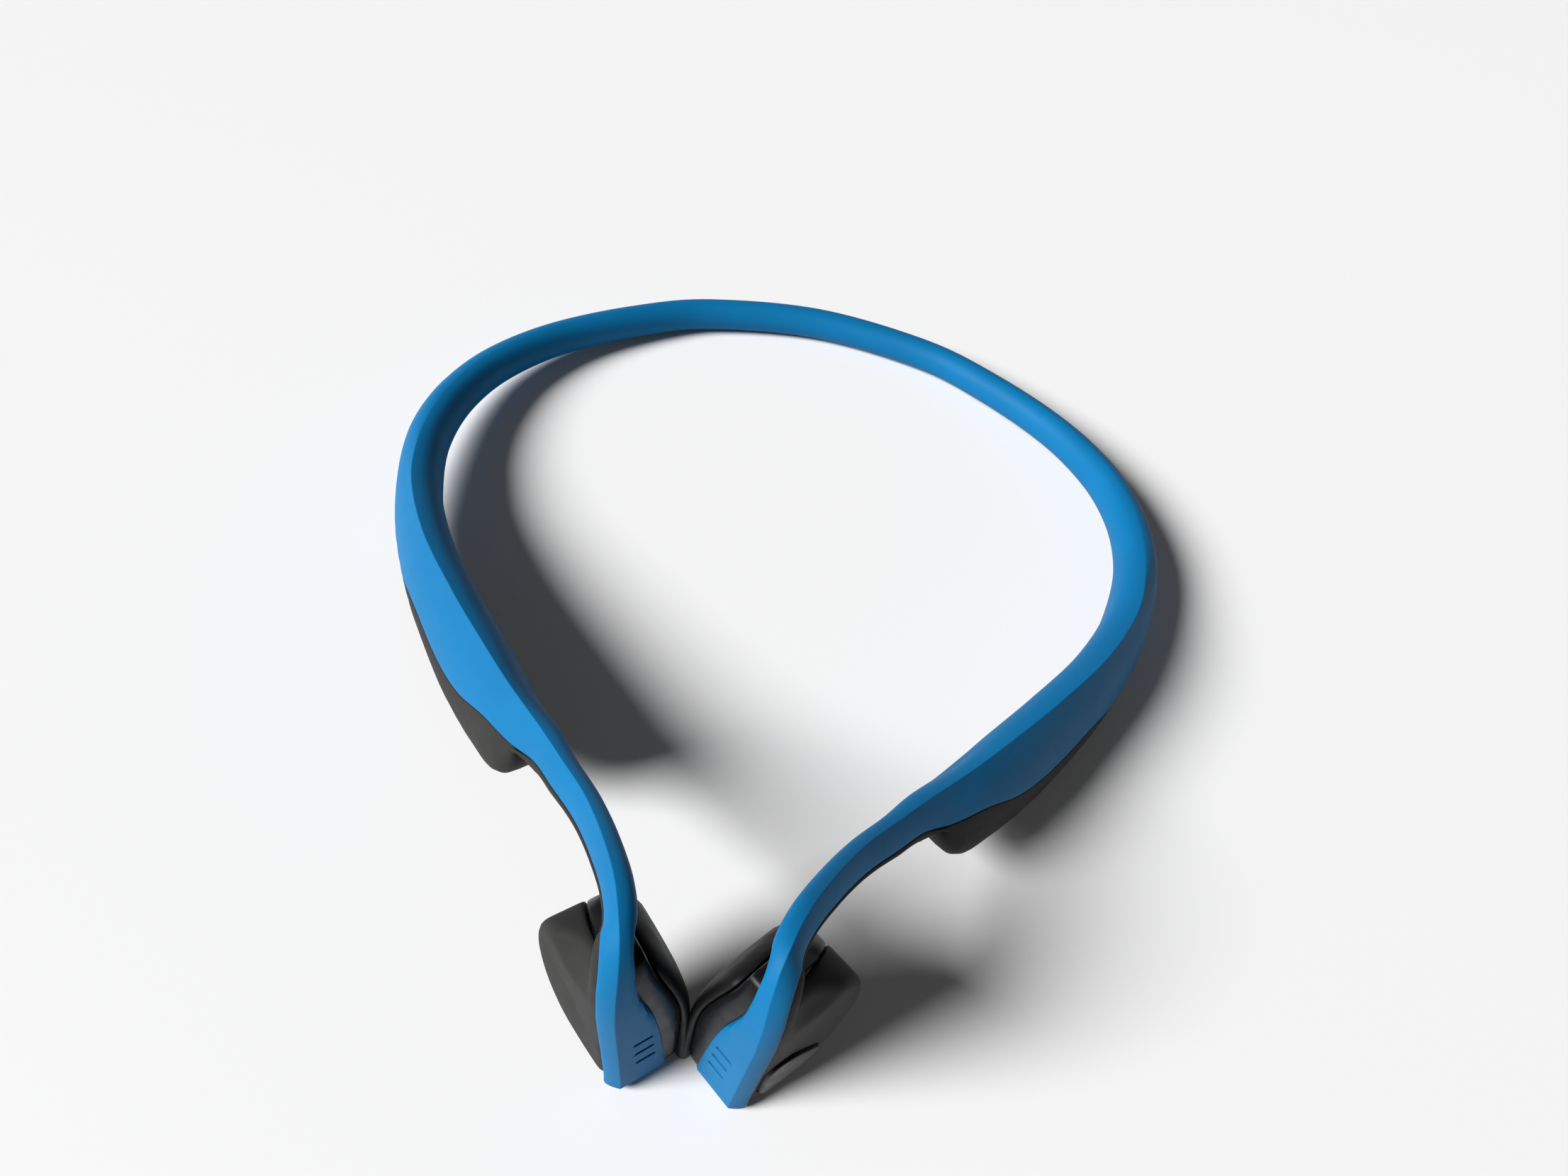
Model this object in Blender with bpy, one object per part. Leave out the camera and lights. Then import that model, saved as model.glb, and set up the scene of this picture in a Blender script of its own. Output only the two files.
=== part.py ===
"""Bone conduction headphones: a rear neckband, two pods, two ear hooks and two transducers.

The headset stands as it is worn: +Z up, the wearer faces -Y, the wearer's left is +X.
It rests on the two transducer tips and on the middle of the neckband, at Z = 0.
Everything is worked out in millimetres on the wearer's left side and mirrored to the right.
"""

import math

import bmesh
import bpy
from mathutils import Matrix, Vector

# ---------------------------------------------------------------- driving dimensions, in mm
MM = 0.001
GAP = 0.3
MIDDLE_Y = 3.6375
LEFT = 1
RIGHT = -1

# The arm's ridge from the middle of the neckband to the transducer's tip.
# x, y, z of the ridge; heading of the outward side; half width outside and inside; height;
# height of the colour seam on the outer and inner side, as a share of the section's height.
STATIONS = (
    (0.0, 76.3, 5.8, 90, 2.75, 2.75, 5.8, 0.50, 0.50),
    (20.5, 73.0, 5.9, 73, 2.75, 2.75, 5.8, 0.50, 0.50),
    (33.5, 66.3, 6.5, 60, 2.8, 2.8, 6.0, 0.50, 0.50),
    (45.9, 56.2, 7.6, 44, 2.9, 2.9, 6.3, 0.50, 0.50),
    (53.9, 45.3, 8.9, 29, 3.1, 3.1, 6.7, 0.50, 0.50),
    (57.9, 34.5, 10.2, 13, 3.2, 3.4, 7.2, 0.52, 0.52),
    (59.0, 24.5, 11.4, 0, 3.3, 3.6, 8.0, 0.58, 0.60),
    (58.2, 15.5, 12.7, -12, 3.3, 3.9, 9.3, 0.62, 0.66),
    (55.8, 6.5, 14.2, -22, 3.4, 4.2, 11.0, 0.64, 0.68),
    (50.0, -5.0, 16.8, -32, 3.9, 4.3, 13.2, 0.64, 0.68),
    (42.3, -15.9, 19.0, -36, 4.7, 4.3, 15.0, 0.62, 0.66),
    (35.7, -24.2, 20.6, -37.5, 5.1, 4.0, 16.2, 0.56, 0.62),
    (29.8, -31.4, 22.3, -37, 4.5, 3.4, 15.8, 0.44, 0.50),
    (24.0, -38.2, 24.6, -34, 2.2, 2.6, 6.6, 0.62, 0.62),
    (20.0, -43.4, 26.9, -32, 1.9, 2.1, 5.4, 0.66, 0.66),
    (16.0, -49.0, 30.0, -31, 1.8, 2.0, 5.0, 0.68, 0.68),
    (12.6, -55.3, 33.6, -32, 1.8, 2.0, 4.8, 0.68, 0.68),
    (10.0, -61.2, 36.4, -33, 1.8, 2.0, 4.6, 0.68, 0.68),
    (8.4, -66.3, 36.9, -35, 1.8, 2.0, 4.6, 0.66, 0.66),
    (7.5, -69.6, 33.6, -37.5, 1.8, 1.9, 4.8, 0.62, 0.62),
    (7.1, -71.0, 27.0, -38.5, 1.8, 1.9, 4.8, 0.60, 0.60),
    (7.0, -71.3, 18.0, -38.5, 1.8, 1.9, 4.8, 0.60, 0.60),
)
# Where the arm is divided, as positions along STATIONS.
FLEX_START = 3.5
FLEX_END = 6.3
POD_END = 13.1
HOOK_END = 19.22
WALL = 1.0
OUTER_SPREAD = 0.9
BORE_RADIUS = 1.75
WIRE_RADIUS = 0.6
CABLE_RADIUS = 0.5
WIRE_OFFSET = 0.78
SLENDER_HEIGHT = 7.4
HOOK_WALL = 0.6
HOOK_SHARE = 0.6
FLEX_AXIS_PLACE = 5.0

# The transducer stands on these two directions: outward, and back from its front edge.
FACE_ANGLE = math.radians(-38.5)
FRONT_EDGE = Vector((7.0, -71.3, 0.0))
OUTER_FACE = 2.0
HOUSING_OUTLINE = (
    (3.2, 31.3), (3.2, 2.4), (5.0, 2.0), (7.6, 3.6), (10.6, 6.6), (13.4, 11.0), (14.8, 15.6),
    (15.1, 19.6), (14.4, 23.4), (12.4, 26.4), (9.6, 28.6), (6.2, 30.4),
)
LEAN = 0.14
LEAN_CENTRE = 17.0
RIM_LEVEL = -3.6
FRAME_DEPTH = 2.6
PAD_DEPTH = 2.3
PAD_OUTLINE = (
    (1.2, 28.0), (1.0, 3.0), (4.0, 1.4), (7.6, 2.8), (10.8, 6.0), (13.6, 10.6), (15.0, 15.4),
    (15.3, 19.6), (14.5, 23.6), (12.4, 26.8), (9.4, 29.0), (5.5, 30.0),
)
DRIVER_CENTRE = (9.15, 16.6)

# The blue front strip: height, width of its inner facet.
FASCIA = (
    (31.45, 1.9), (29.5, 1.9), (27.5, 2.3), (24.5, 3.2), (21.5, 4.1), (18.5, 5.0), (14.5, 5.9),
    (9.0, 6.6), (3.2, 7.1), (1.5, 6.8), (0.5, 6.2), (0.0, 5.2),
)
FASCIA_SLOPE = 0.04
FASCIA_BACK = 2.9
GROOVE_COUNT = 3
GROOVE_PITCH = 2.85
GROOVE_LOW = (-2.4, 13.9)
GROOVE_HIGH = (-4.5, 15.4)
GROOVE_WIDTH = 0.55
GROOVE_DEPTH = 0.5

BUTTON_OUTLINE = ((5.2, 5.2), (8.8, 7.8), (11.9, 12.2), (12.2, 15.0), (9.6, 13.8), (5.3, 9.8))
BUTTON_TRAVEL = 0.5
MIC_SLOT = (5.0, 24.5)

COLOURS = {
    "blue_silicone": ((0.02, 0.2, 0.55), 0.5, 0.0),
    "black_silicone": ((0.02, 0.02, 0.02), 0.6, 0.0),
    "black_plastic": ((0.015, 0.015, 0.015), 0.35, 0.0),
    "titanium": ((0.5, 0.49, 0.47), 0.35, 1.0),
    "steel": ((0.6, 0.6, 0.6), 0.3, 1.0),
    "copper": ((0.7, 0.32, 0.16), 0.35, 1.0),
    "board": ((0.02, 0.16, 0.07), 0.5, 0.0),
    "battery": ((0.45, 0.46, 0.48), 0.4, 0.6),
    "clear_plastic": ((0.85, 0.85, 0.85), 0.2, 0.0),
    "foam": ((0.05, 0.05, 0.05), 0.9, 0.0),
}


# ---------------------------------------------------------------- scene and mesh helpers
def clear_scene():
    for item in list(bpy.data.objects):
        bpy.data.objects.remove(item, do_unlink=True)


def material(slot):
    found = bpy.data.materials.get(slot)
    if found:
        return found
    colour, roughness, metallic = COLOURS[slot]
    made = bpy.data.materials.new(slot)
    made.use_nodes = True
    shader = made.node_tree.nodes["Principled BSDF"]
    shader.inputs["Base Color"].default_value = (*colour, 1)
    shader.inputs["Roughness"].default_value = roughness
    shader.inputs["Metallic"].default_value = metallic
    return made


def add_mesh(name, points, faces, slot, side=LEFT, hidden=False):
    """Adds a solid from points in mm, mirrored in X when it is for the right side."""
    mesh = bpy.data.meshes.new(name)
    placed = [(p[0] * side * MM, (p[1] - MIDDLE_Y) * MM, p[2] * MM) for p in points]
    wound = [face[::-1] for face in faces] if side == RIGHT else faces
    mesh.from_pydata(placed, [], wound)
    shape = bmesh.new()
    shape.from_mesh(mesh)
    bmesh.ops.recalc_face_normals(shape, faces=shape.faces)
    if shape.calc_volume(signed=True) < 0:
        bmesh.ops.reverse_faces(shape, faces=shape.faces)
    shape.to_mesh(mesh)
    shape.free()
    mesh.materials.append(material(slot))
    mesh.shade_smooth()
    mesh.set_sharp_from_angle(angle=math.radians(35))
    made = bpy.data.objects.new(name, mesh)
    bpy.context.collection.objects.link(made)
    if hidden:
        made.hide_render = True
        made.display_type = "WIRE"
    return made


def world_point(point, side):
    """A point in mm on the wearer's left, as metres in the scene on the side asked for."""
    return Vector((point[0] * side * MM, (point[1] - MIDDLE_Y) * MM, point[2] * MM))


def set_origin(item, point):
    """Moves an object's origin to a world point and leaves its surface where it is."""
    item.data.transform(Matrix.Translation(-point))
    item.location = point


def pivot(name, point):
    """An empty on a joint's axis."""
    made = bpy.data.objects.new(name, None)
    made.location = point
    made.empty_display_size = 0.01
    bpy.context.collection.objects.link(made)
    return made


def hang_on(item, empty):
    """Parents an object to a pivot and leaves it where it is."""
    item.parent = empty
    item.matrix_parent_inverse = Matrix.Translation(-empty.location)


def cut(target, cutter):
    """Takes the cutter's shape out of the target."""
    modifier = target.modifiers.new(cutter.name, "BOOLEAN")
    modifier.object = cutter
    modifier.operation = "DIFFERENCE"
    modifier.solver = "EXACT"


def loft(name, rings, slot, side=LEFT, hidden=False):
    """Skins rings of equal length and closes both ends."""
    count = len(rings[0])
    points = [p for ring in rings for p in ring]
    faces = []
    for row in range(len(rings) - 1):
        for k in range(count):
            a = row * count + k
            b = row * count + (k + 1) % count
            faces.append((a, b, b + count, a + count))
    faces.append(tuple(range(count))[::-1])
    last = (len(rings) - 1) * count
    faces.append(tuple(range(last, last + count)))
    return add_mesh(name, points, faces, slot, side, hidden)


def tube(name, outer, inner, slot, side=LEFT):
    """Skins a hollow run: outer and inner rings of equal length, open at both ends."""
    count = len(outer[0])
    rows = len(outer)
    points = [p for ring in outer for p in ring] + [p for ring in inner for p in ring]
    base = rows * count
    faces = []
    for row in range(rows - 1):
        for k in range(count):
            a = row * count + k
            b = row * count + (k + 1) % count
            faces.append((a, b, b + count, a + count))
            faces.append((base + b, base + a, base + a + count, base + b + count))
    for row, flip in ((0, False), (rows - 1, True)):
        for k in range(count):
            a = row * count + k
            b = row * count + (k + 1) % count
            face = (b, a, base + a, base + b)
            faces.append(face[::-1] if flip else face)
    return add_mesh(name, points, faces, slot, side)


# ---------------------------------------------------------------- the arm's path and sections
def station(u):
    """The row of STATIONS at a place between two of them, on a smooth curve."""
    start = STATIONS[1]
    mirrored = (-start[0], start[1], start[2], 180 - start[3]) + start[4:]
    end = STATIONS[-1]
    past = tuple(2 * a - b for a, b in zip(end, STATIONS[-2]))
    rows = (mirrored,) + STATIONS + (past,)
    index = min(int(math.floor(u)), len(STATIONS) - 2)
    t = u - index
    p0, p1, p2, p3 = rows[index:index + 4]
    return [
        0.5 * (2 * b + (c - a) * t + (2 * a - 5 * b + 4 * c - d) * t * t
               + (3 * b - a - 3 * c + d) * t * t * t)
        for a, b, c, d in zip(p0, p1, p2, p3)
    ]


def frame_at(u):
    """Ridge point, outward direction, ridge normal and heading at a place along the arm."""
    side = 1 if u >= 0 else -1
    u = abs(u)
    step = 0.02
    here = station(u)
    ahead = Vector(station(u + step)[:3])
    behind = Vector(station(u - step)[:3]) if u >= step else Vector(here[:3])
    heading = (ahead - behind).normalized()
    angle = math.radians(here[3])
    out = Vector((math.cos(angle), math.sin(angle), 0))
    out = (out - heading * out.dot(heading)).normalized()
    up = heading.cross(out).normalized()
    point = Vector(here[:3])
    if side < 0:
        flip = Matrix.Diagonal((-1, 1, 1))
        return flip @ point, flip @ out, flip @ up, flip @ heading, here
    return point, out, up, heading, here


def place(u, flat):
    """Puts section points (outward, up) on the section plane at u."""
    point, out, up, _, _ = frame_at(u)
    return [point + out * b + up * n for b, n in flat]


def steps(start, end, pitch):
    count = max(2, int(round((end - start) / pitch)) + 1)
    return [start + (end - start) * k / (count - 1) for k in range(count)]


def shave(u, length):
    """Moves a place along the arm by a length in mm."""
    here = Vector(station(abs(u))[:3])
    ahead = Vector(station(abs(u) + 0.05)[:3])
    return u + 0.05 * length / (ahead - here).length


def round_section(row, count=12):
    """The neckband's full outline."""
    out_half, in_half, height = row[4:7]
    points = []
    for k in range(count):
        angle = 2 * math.pi * k / count
        half = out_half if math.cos(angle) > 0 else in_half
        points.append((half * math.cos(angle), height / 2 * (math.sin(angle) - 1)))
    return points


def bore_section(row, count=12, radius=BORE_RADIUS):
    middle = -row[6] / 2
    return [
        (radius * math.cos(2 * math.pi * k / count), middle + radius * math.sin(2 * math.pi * k / count))
        for k in range(count)
    ]


def upper_line(row):
    """The outline above the colour seam, from the outer seam over the ridge to the inner one."""
    wo, wi, h, so, si = row[4:9]
    return [
        (OUTER_SPREAD * wo, -so * h), (0.66 * wo, -0.5 * so * h), (0.36 * wo, -0.17 * so * h), (0, 0),
        (-0.45 * wi, -0.04 * h), (-0.84 * wi, -0.17 * h), (-wi, -0.4 * h), (-wi, -si * h),
    ]


def lower_line(row):
    """The outline below the colour seam, from the inner seam under the arm to the outer one."""
    wo, wi, h, so, si = row[4:9]
    low_in = -si * h - GAP
    low_out = -so * h - GAP
    return [
        (-wi, low_in), (-0.98 * wi, 0.4 * low_in - 0.6 * 0.92 * h), (-0.78 * wi, -0.95 * h),
        (-0.35 * wi, -h), (0.35 * wo, -h), (0.8 * wo, -0.96 * h),
        (wo, 0.3 * low_out - 0.7 * 0.92 * h), (OUTER_SPREAD * wo, low_out),
    ]


def offset_line(line, distance):
    """The same open outline, moved to its right by the distance."""
    moved = []
    for k, point in enumerate(line):
        before = Vector(line[max(k - 1, 0)])
        after = Vector(line[min(k + 1, len(line) - 1)])
        here = Vector(point)
        normals = []
        for a, b in ((before, here), (here, after)):
            if (b - a).length > 1e-6:
                edge = (b - a).normalized()
                normals.append(Vector((-edge.y, edge.x)))
        normal = sum(normals, Vector((0, 0))).normalized()
        stretch = 1 / max(normal.dot(normals[0]), 0.6)
        moved.append(tuple(here - normal * distance * stretch * -1))
    return moved


def channel(name, start, end, pitch, line, wall, slot, side):
    """A half shell along the arm: an outline with thickness, as an open channel."""
    rings = []
    for u in steps(start, end, pitch):
        row = frame_at(u)[4]
        outline = line(row)
        inside = offset_line(outline, wall)
        rings.append(place(u, outline + inside[::-1]))
    return loft(name, rings, slot, side)


def run(name, start, end, pitch, across, radius, slot, side=LEFT, share=0.5, count=8):
    """A round wire or cable along the arm, at a share of the height of a slender section."""
    rings = []
    for u in steps(start, end, pitch):
        middle = -min(frame_at(u)[4][6], SLENDER_HEIGHT) * share
        rings.append(place(u, [
            (across + radius * math.cos(2 * math.pi * k / count),
             middle + radius * math.sin(2 * math.pi * k / count))
            for k in range(count)
        ]))
    return loft(name, rings, slot, side)


# ---------------------------------------------------------------- the neckband
def sleeve(name, start, end, slot, side=LEFT):
    places = steps(start, end, 0.42)
    outer = [place(u, round_section(frame_at(u)[4])) for u in places]
    inner = [place(u, bore_section(frame_at(u)[4])) for u in places]
    return tube(name, outer, inner, slot, side)


def make_neckband():
    sleeve("neckband_sleeve", -FLEX_START, FLEX_START, "blue_silicone")
    run("neckband_wire", -FLEX_START, FLEX_START, 0.42, -WIRE_OFFSET, WIRE_RADIUS, "titanium")
    run("neckband_cable", -FLEX_START, FLEX_START, 0.42, WIRE_OFFSET, CABLE_RADIUS, "black_plastic")
    start = shave(FLEX_START, GAP)
    for side, word in ((LEFT, "left"), (RIGHT, "right")):
        sleeve(f"{word}_flex_sleeve", start, FLEX_END, "blue_silicone", side)
        run(f"{word}_flex_wire", start, FLEX_END, 0.42, -WIRE_OFFSET, WIRE_RADIUS, "titanium", side)
        run(f"{word}_flex_cable", start, FLEX_END, 0.42, WIRE_OFFSET, CABLE_RADIUS, "black_plastic", side)


# ---------------------------------------------------------------- the pods
def local_box(name, u, centre, size, slot, side, hidden=False):
    """A box on the section at u: centre and size as outward, up and along."""
    point, out, up, heading, _ = frame_at(u)
    points = []
    for a in (-0.5, 0.5):
        for b in (-0.5, 0.5):
            for c in (-0.5, 0.5):
                points.append(
                    point + out * (centre[0] + a * size[0]) + up * (centre[1] + b * size[1])
                    + heading * (centre[2] + c * size[2])
                )
    faces = [(0, 1, 3, 2), (4, 6, 7, 5), (0, 4, 5, 1), (2, 3, 7, 6), (0, 2, 6, 4), (1, 5, 7, 3)]
    return add_mesh(name, points, faces, slot, side, hidden)


def soften(item, width, segments=2):
    bevel = item.modifiers.new("rounding", "BEVEL")
    bevel.width = width * MM
    bevel.segments = segments
    bevel.limit_method = "ANGLE"
    bevel.angle_limit = math.radians(40)
    return item


def make_pod(side, word):
    start = shave(FLEX_END, GAP)
    channel(f"{word}_pod_cover", start, POD_END, 0.5, upper_line, WALL, "blue_silicone", side)
    return channel(f"{word}_pod_shell", start, POD_END, 0.5, lower_line, WALL, "black_silicone", side)


def make_battery_side(side, word):
    make_pod(side, word)
    soften(local_box(f"{word}_battery", 10.7, (0.2, -8.7, 0), (3.2, 6.8, 19), "battery", side), 0.6)
    local_box(f"{word}_battery_board", 8.9, (-0.2, -6.2, 0), (0.9, 5.6, 5.0), "board", side)
    local_box(f"{word}_battery_foam", 10.7, (0.0, -4.5, 0), (1.8, 0.6, 14), "foam", side)


BUTTON_PLACES = (("volume_down", 10.35), ("volume_up", 11.15))
BUTTON_SIZE = (3.2, 2.6, 6.4)
PORT_PLACE = 8.95
PORT_SIZE = (3.4, 1.2, 9.0)


def on_section(u, across, level, along):
    """A point by its distances outward, up and along from the ridge at u."""
    point, out, up, heading, _ = frame_at(u)
    return point + out * across + up * level + heading * along


def floor_level(u):
    return -frame_at(u)[4][6]


def make_board_side(side, word):
    shell = make_pod(side, word)
    local_box(f"{word}_main_board", 10.5, (0.2, -6.8, 0), (0.8, 7.0, 22), "board", side)
    soften(local_box(f"{word}_shield_can", 10.5, (-1.1, -6.8, 2), (1.2, 5.0, 9), "steel", side), 0.25)
    local_box(f"{word}_antenna", 11.0, (-0.2, -2.4, 0), (1.4, 0.5, 7.0), "clear_plastic", side)
    for label, u in BUTTON_PLACES:
        floor = floor_level(u)
        middle = -0.7
        level = floor + BUTTON_SIZE[1] / 2 - 0.35
        hole = [BUTTON_SIZE[0] + 2 * GAP, 5.0, BUTTON_SIZE[2] + 2 * GAP]
        cutter = local_box(f"{label}_hole", u, (middle, floor, 0), hole, "black_silicone", side, True)
        cut(shell, cutter)
        button = local_box(f"{label}_button", u, (middle, level, 0), BUTTON_SIZE, "black_silicone", side)
        set_origin(button, world_point(on_section(u, middle, level, 0), side))
        switch_level = level + BUTTON_SIZE[1] / 2 + BUTTON_TRAVEL + 0.35 + 0.6
        local_box(f"{label}_switch", u, (middle, switch_level, 0), (2.4, 1.2, 3.2), "steel", side)
    floor = floor_level(PORT_PLACE)
    hole = [PORT_SIZE[0] + 2 * GAP, 5.0, PORT_SIZE[2] + 2 * GAP]
    cutter = local_box("port_hole", PORT_PLACE, (-0.6, floor, 0), hole, "black_silicone", side, True)
    cut(shell, cutter)
    level = floor + PORT_SIZE[1] / 2
    cover = local_box("port_cover", PORT_PLACE, (-0.6, level, 0), PORT_SIZE, "black_silicone", side)
    set_origin(cover, world_point(on_section(PORT_PLACE, -0.6, floor, PORT_SIZE[2] / 2), side))
    make_socket(side, floor + PORT_SIZE[1] + 0.5)
    local_box("status_light_pipe", 9.75, (-0.6, floor_level(9.75) + 1.7, 0), (1.0, 2.2, 1.0),
              "clear_plastic", side)
    cutter = local_box("light_hole", 9.75, (-0.6, floor_level(9.75), 0), (1.6, 5.0, 1.6),
                       "clear_plastic", side, True)
    cut(shell, cutter)


def make_socket(side, level):
    """The charging socket: a metal shell, open downward, behind the port cover."""
    point, out, up, heading, _ = frame_at(PORT_PLACE)
    half_across, half_along, depth, wall = 1.35, 3.7, 2.6, 0.3

    def ring(across, along, height):
        return [
            point + out * (a * across - 0.6) + heading * (b * along) + up * height
            for a, b in ((1, 1), (-1, 1), (-1, -1), (1, -1))
        ]

    rings = [
        ring(half_across, half_along, level + depth),
        ring(half_across, half_along, level),
        ring(half_across - wall, half_along - wall, level),
        ring(half_across - wall, half_along - wall, level + depth - wall),
    ]
    loft("charge_socket", rings, "steel", side)


# ---------------------------------------------------------------- the ear hooks
def make_hook(side, word):
    start = shave(POD_END, GAP)
    channel(f"{word}_hook_cover", start, HOOK_END, 0.42, upper_line, HOOK_WALL, "blue_silicone", side)
    channel(f"{word}_hook_underside", start, HOOK_END, 0.42, lower_line, HOOK_WALL, "black_silicone",
            side)
    first = POD_END - 0.35
    run(f"{word}_hook_wire", first, HOOK_END, 0.42, -0.5, 0.42, "titanium", side, HOOK_SHARE)
    run(f"{word}_hook_cable", first, HOOK_END, 0.42, 0.42, 0.3, "black_plastic", side, HOOK_SHARE)


# ---------------------------------------------------------------- the transducers
def at_face(b, d, z):
    """A point by its distance outward, back from the front edge, and up."""
    out = Vector((math.cos(FACE_ANGLE), math.sin(FACE_ANGLE), 0))
    back = Vector((-math.sin(FACE_ANGLE), math.cos(FACE_ANGLE), 0))
    return FRONT_EDGE + out * b + back * d + Vector((0, 0, z))


def leaned(level, z):
    """The inner side leans: the housing is thinner at the top than at the bottom."""
    return level + LEAN * (z - LEAN_CENTRE)


def inset(outline, distance):
    """A closed outline moved inward by the distance."""
    count = len(outline)
    area = sum(
        outline[k][0] * outline[(k + 1) % count][1] - outline[(k + 1) % count][0] * outline[k][1]
        for k in range(count)
    )
    turn = 1 if area > 0 else -1
    moved = []
    for k in range(count):
        before, here, after = (Vector(outline[(k + j) % count]) for j in (-1, 0, 1))
        first = (here - before).normalized()
        second = (after - here).normalized()
        normal = (Vector((-first.y, first.x)) + Vector((-second.y, second.x))).normalized() * turn
        stretch = 1 / max(normal.dot(Vector((-first.y, first.x)) * turn), 0.5)
        moved.append(tuple(here + normal * distance * stretch))
    return moved


def face_ring(outline, level, lean=True):
    return [at_face(leaned(level, z) if lean else level, d, z) for d, z in outline]


def make_housing(side, word):
    """The black outer shell, a cup open toward the wearer."""
    wall = 1.0
    outline = HOUSING_OUTLINE
    rings = [
        face_ring(inset(outline, wall), OUTER_FACE - wall - 0.1, False),
        face_ring(inset(outline, wall), RIM_LEVEL),
        face_ring(outline, RIM_LEVEL),
        face_ring(outline, OUTER_FACE - 1.2, False),
        face_ring(inset(outline, 0.35), OUTER_FACE - 0.4, False),
        face_ring(inset(outline, 1.1), OUTER_FACE, False),
    ]
    return loft(f"{word}_transducer_housing", rings, "black_silicone", side)


def make_fascia(side, word):
    """The blue front strip with its ridge, its wide inner facet and three short grooves."""
    rings = []
    for z, width in FASCIA:
        taper = 1.0 if z > 2 else 0.8 + 0.1 * z
        flat = [
            (0, 0), (0.75 * taper, -0.25), (1.5 * taper, -0.95), (1.9 * taper, -2.0),
            (1.9 * taper, -FASCIA_BACK), (-width, -FASCIA_BACK),
            (-width, -FASCIA_SLOPE * width - 0.35), (-width + 0.3, -FASCIA_SLOPE * width),
        ]
        rings.append([at_face(b, -n, z) for b, n in flat])
    fascia = loft(f"{word}_front_fascia", rings, "blue_silicone", side)
    for k in range(GROOVE_COUNT):
        drop = GROOVE_PITCH * k
        low = (GROOVE_LOW[0] - 0.22 * k, GROOVE_LOW[1] - drop)
        high = (GROOVE_HIGH[0] - 0.2 * k, GROOVE_HIGH[1] - drop)
        cut(fascia, groove(f"{word}_groove_{k + 1}", low, high, side))


def groove(name, low, high, side):
    """A slot-shaped cutter that lies along the inner facet."""
    run_b, run_z = high[0] - low[0], high[1] - low[1]
    length = math.hypot(run_b, run_z)
    across = (-run_z / length * GROOVE_WIDTH / 2, run_b / length * GROOVE_WIDTH / 2)
    rings = []
    for level in (-1.5, GROOVE_DEPTH):
        ring = []
        for b, z, sign in ((*low, 1), (*high, 1), (*high, -1), (*low, -1)):
            pb, pz = b + sign * across[0], z + sign * across[1]
            ring.append(at_face(pb, -FASCIA_SLOPE * pb + level, pz))
        rings.append(ring)
    return loft(name, rings, "blue_silicone", side, True)


def make_frame_and_pad(side, word):
    """The glossier inner ring of the transducer and the soft pad that meets the cheekbone."""
    outline = HOUSING_OUTLINE
    top = RIM_LEVEL - GAP
    low = top - FRAME_DEPTH
    outer = [face_ring(outline, top), face_ring(inset(outline, 0.5), low)]
    inner = [face_ring(inset(outline, 1.6), top), face_ring(inset(outline, 1.9), low)]
    tube(f"{word}_inner_frame", outer, inner, "black_plastic", side)
    start = low - GAP
    pad = [
        face_ring(inset(PAD_OUTLINE, 2.4), start - 1.3),
        face_ring(inset(PAD_OUTLINE, 2.2), start),
        face_ring(PAD_OUTLINE, start),
        face_ring(inset(PAD_OUTLINE, 0.4), start - 0.9),
        face_ring(inset(PAD_OUTLINE, 1.4), start - 1.7),
        face_ring(inset(PAD_OUTLINE, 2.8), start - PAD_DEPTH),
    ]
    loft(f"{word}_contact_pad", pad, "black_silicone", side)


def driver_frame(level):
    """Centre and axes of the driver at a level: the axis points to the wearer."""
    d, z = DRIVER_CENTRE
    centre = at_face(leaned(level, z), d, z)
    up = (at_face(leaned(level, z + 1), d, z + 1) - centre).normalized()
    back = (at_face(leaned(level, z), d + 1, z) - centre).normalized()
    axis = back.cross(up).normalized()
    if axis.dot(at_face(-1, 0, 0) - at_face(0, 0, 0)) < 0:
        axis = -axis
    return centre, back, up, axis


def turned(name, level, profile, slot, side, count=20, close=True):
    """A turned piece on the driver's axis: profile points are radius and depth inward."""
    centre, back, up, axis = driver_frame(level)
    rings = []
    for radius, depth in profile:
        rings.append([
            centre + axis * depth
            + (back * math.cos(2 * math.pi * k / count) + up * math.sin(2 * math.pi * k / count)) * radius
            for k in range(count)
        ])
    if close:
        return loft(name, rings, slot, side)
    half = len(rings) // 2
    return tube(name, rings[:half], rings[half:][::-1], slot, side)


def make_driver(side, word):
    """Yoke cup, magnet, voice coil, spring plate and the bridge that carries the pad."""
    level = RIM_LEVEL
    yoke = [(3.45, -2.6), (3.45, -0.4), (4.25, -0.4), (4.25, -3.2)]
    turned(f"{word}_driver_yoke", level, yoke, "steel", side)
    turned(f"{word}_driver_magnet", level, [(2.0, -2.3), (2.0, -0.7)], "steel", side, 16)
    coil = [(3.1, -1.9), (3.1, 0.1), (2.4, 0.1), (2.4, -1.9)]
    turned(f"{word}_voice_coil", level, coil, "copper", side, 16, False)
    plate = [(3.7, 0.45), (3.7, 0.85)]
    turned(f"{word}_spring_plate", level, plate, "steel", side)
    bridge = [(2.6, 1.2), (2.6, 2.5), (3.2, 3.0), (3.2, 3.4)]
    turned(f"{word}_vibration_bridge", level, bridge, "black_plastic", side, 16)


def face_prism(name, outline, near, far, slot, side, hidden=False):
    rings = [face_ring(outline, near, False), face_ring(outline, far, False)]
    return loft(name, rings, slot, side, hidden)


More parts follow.
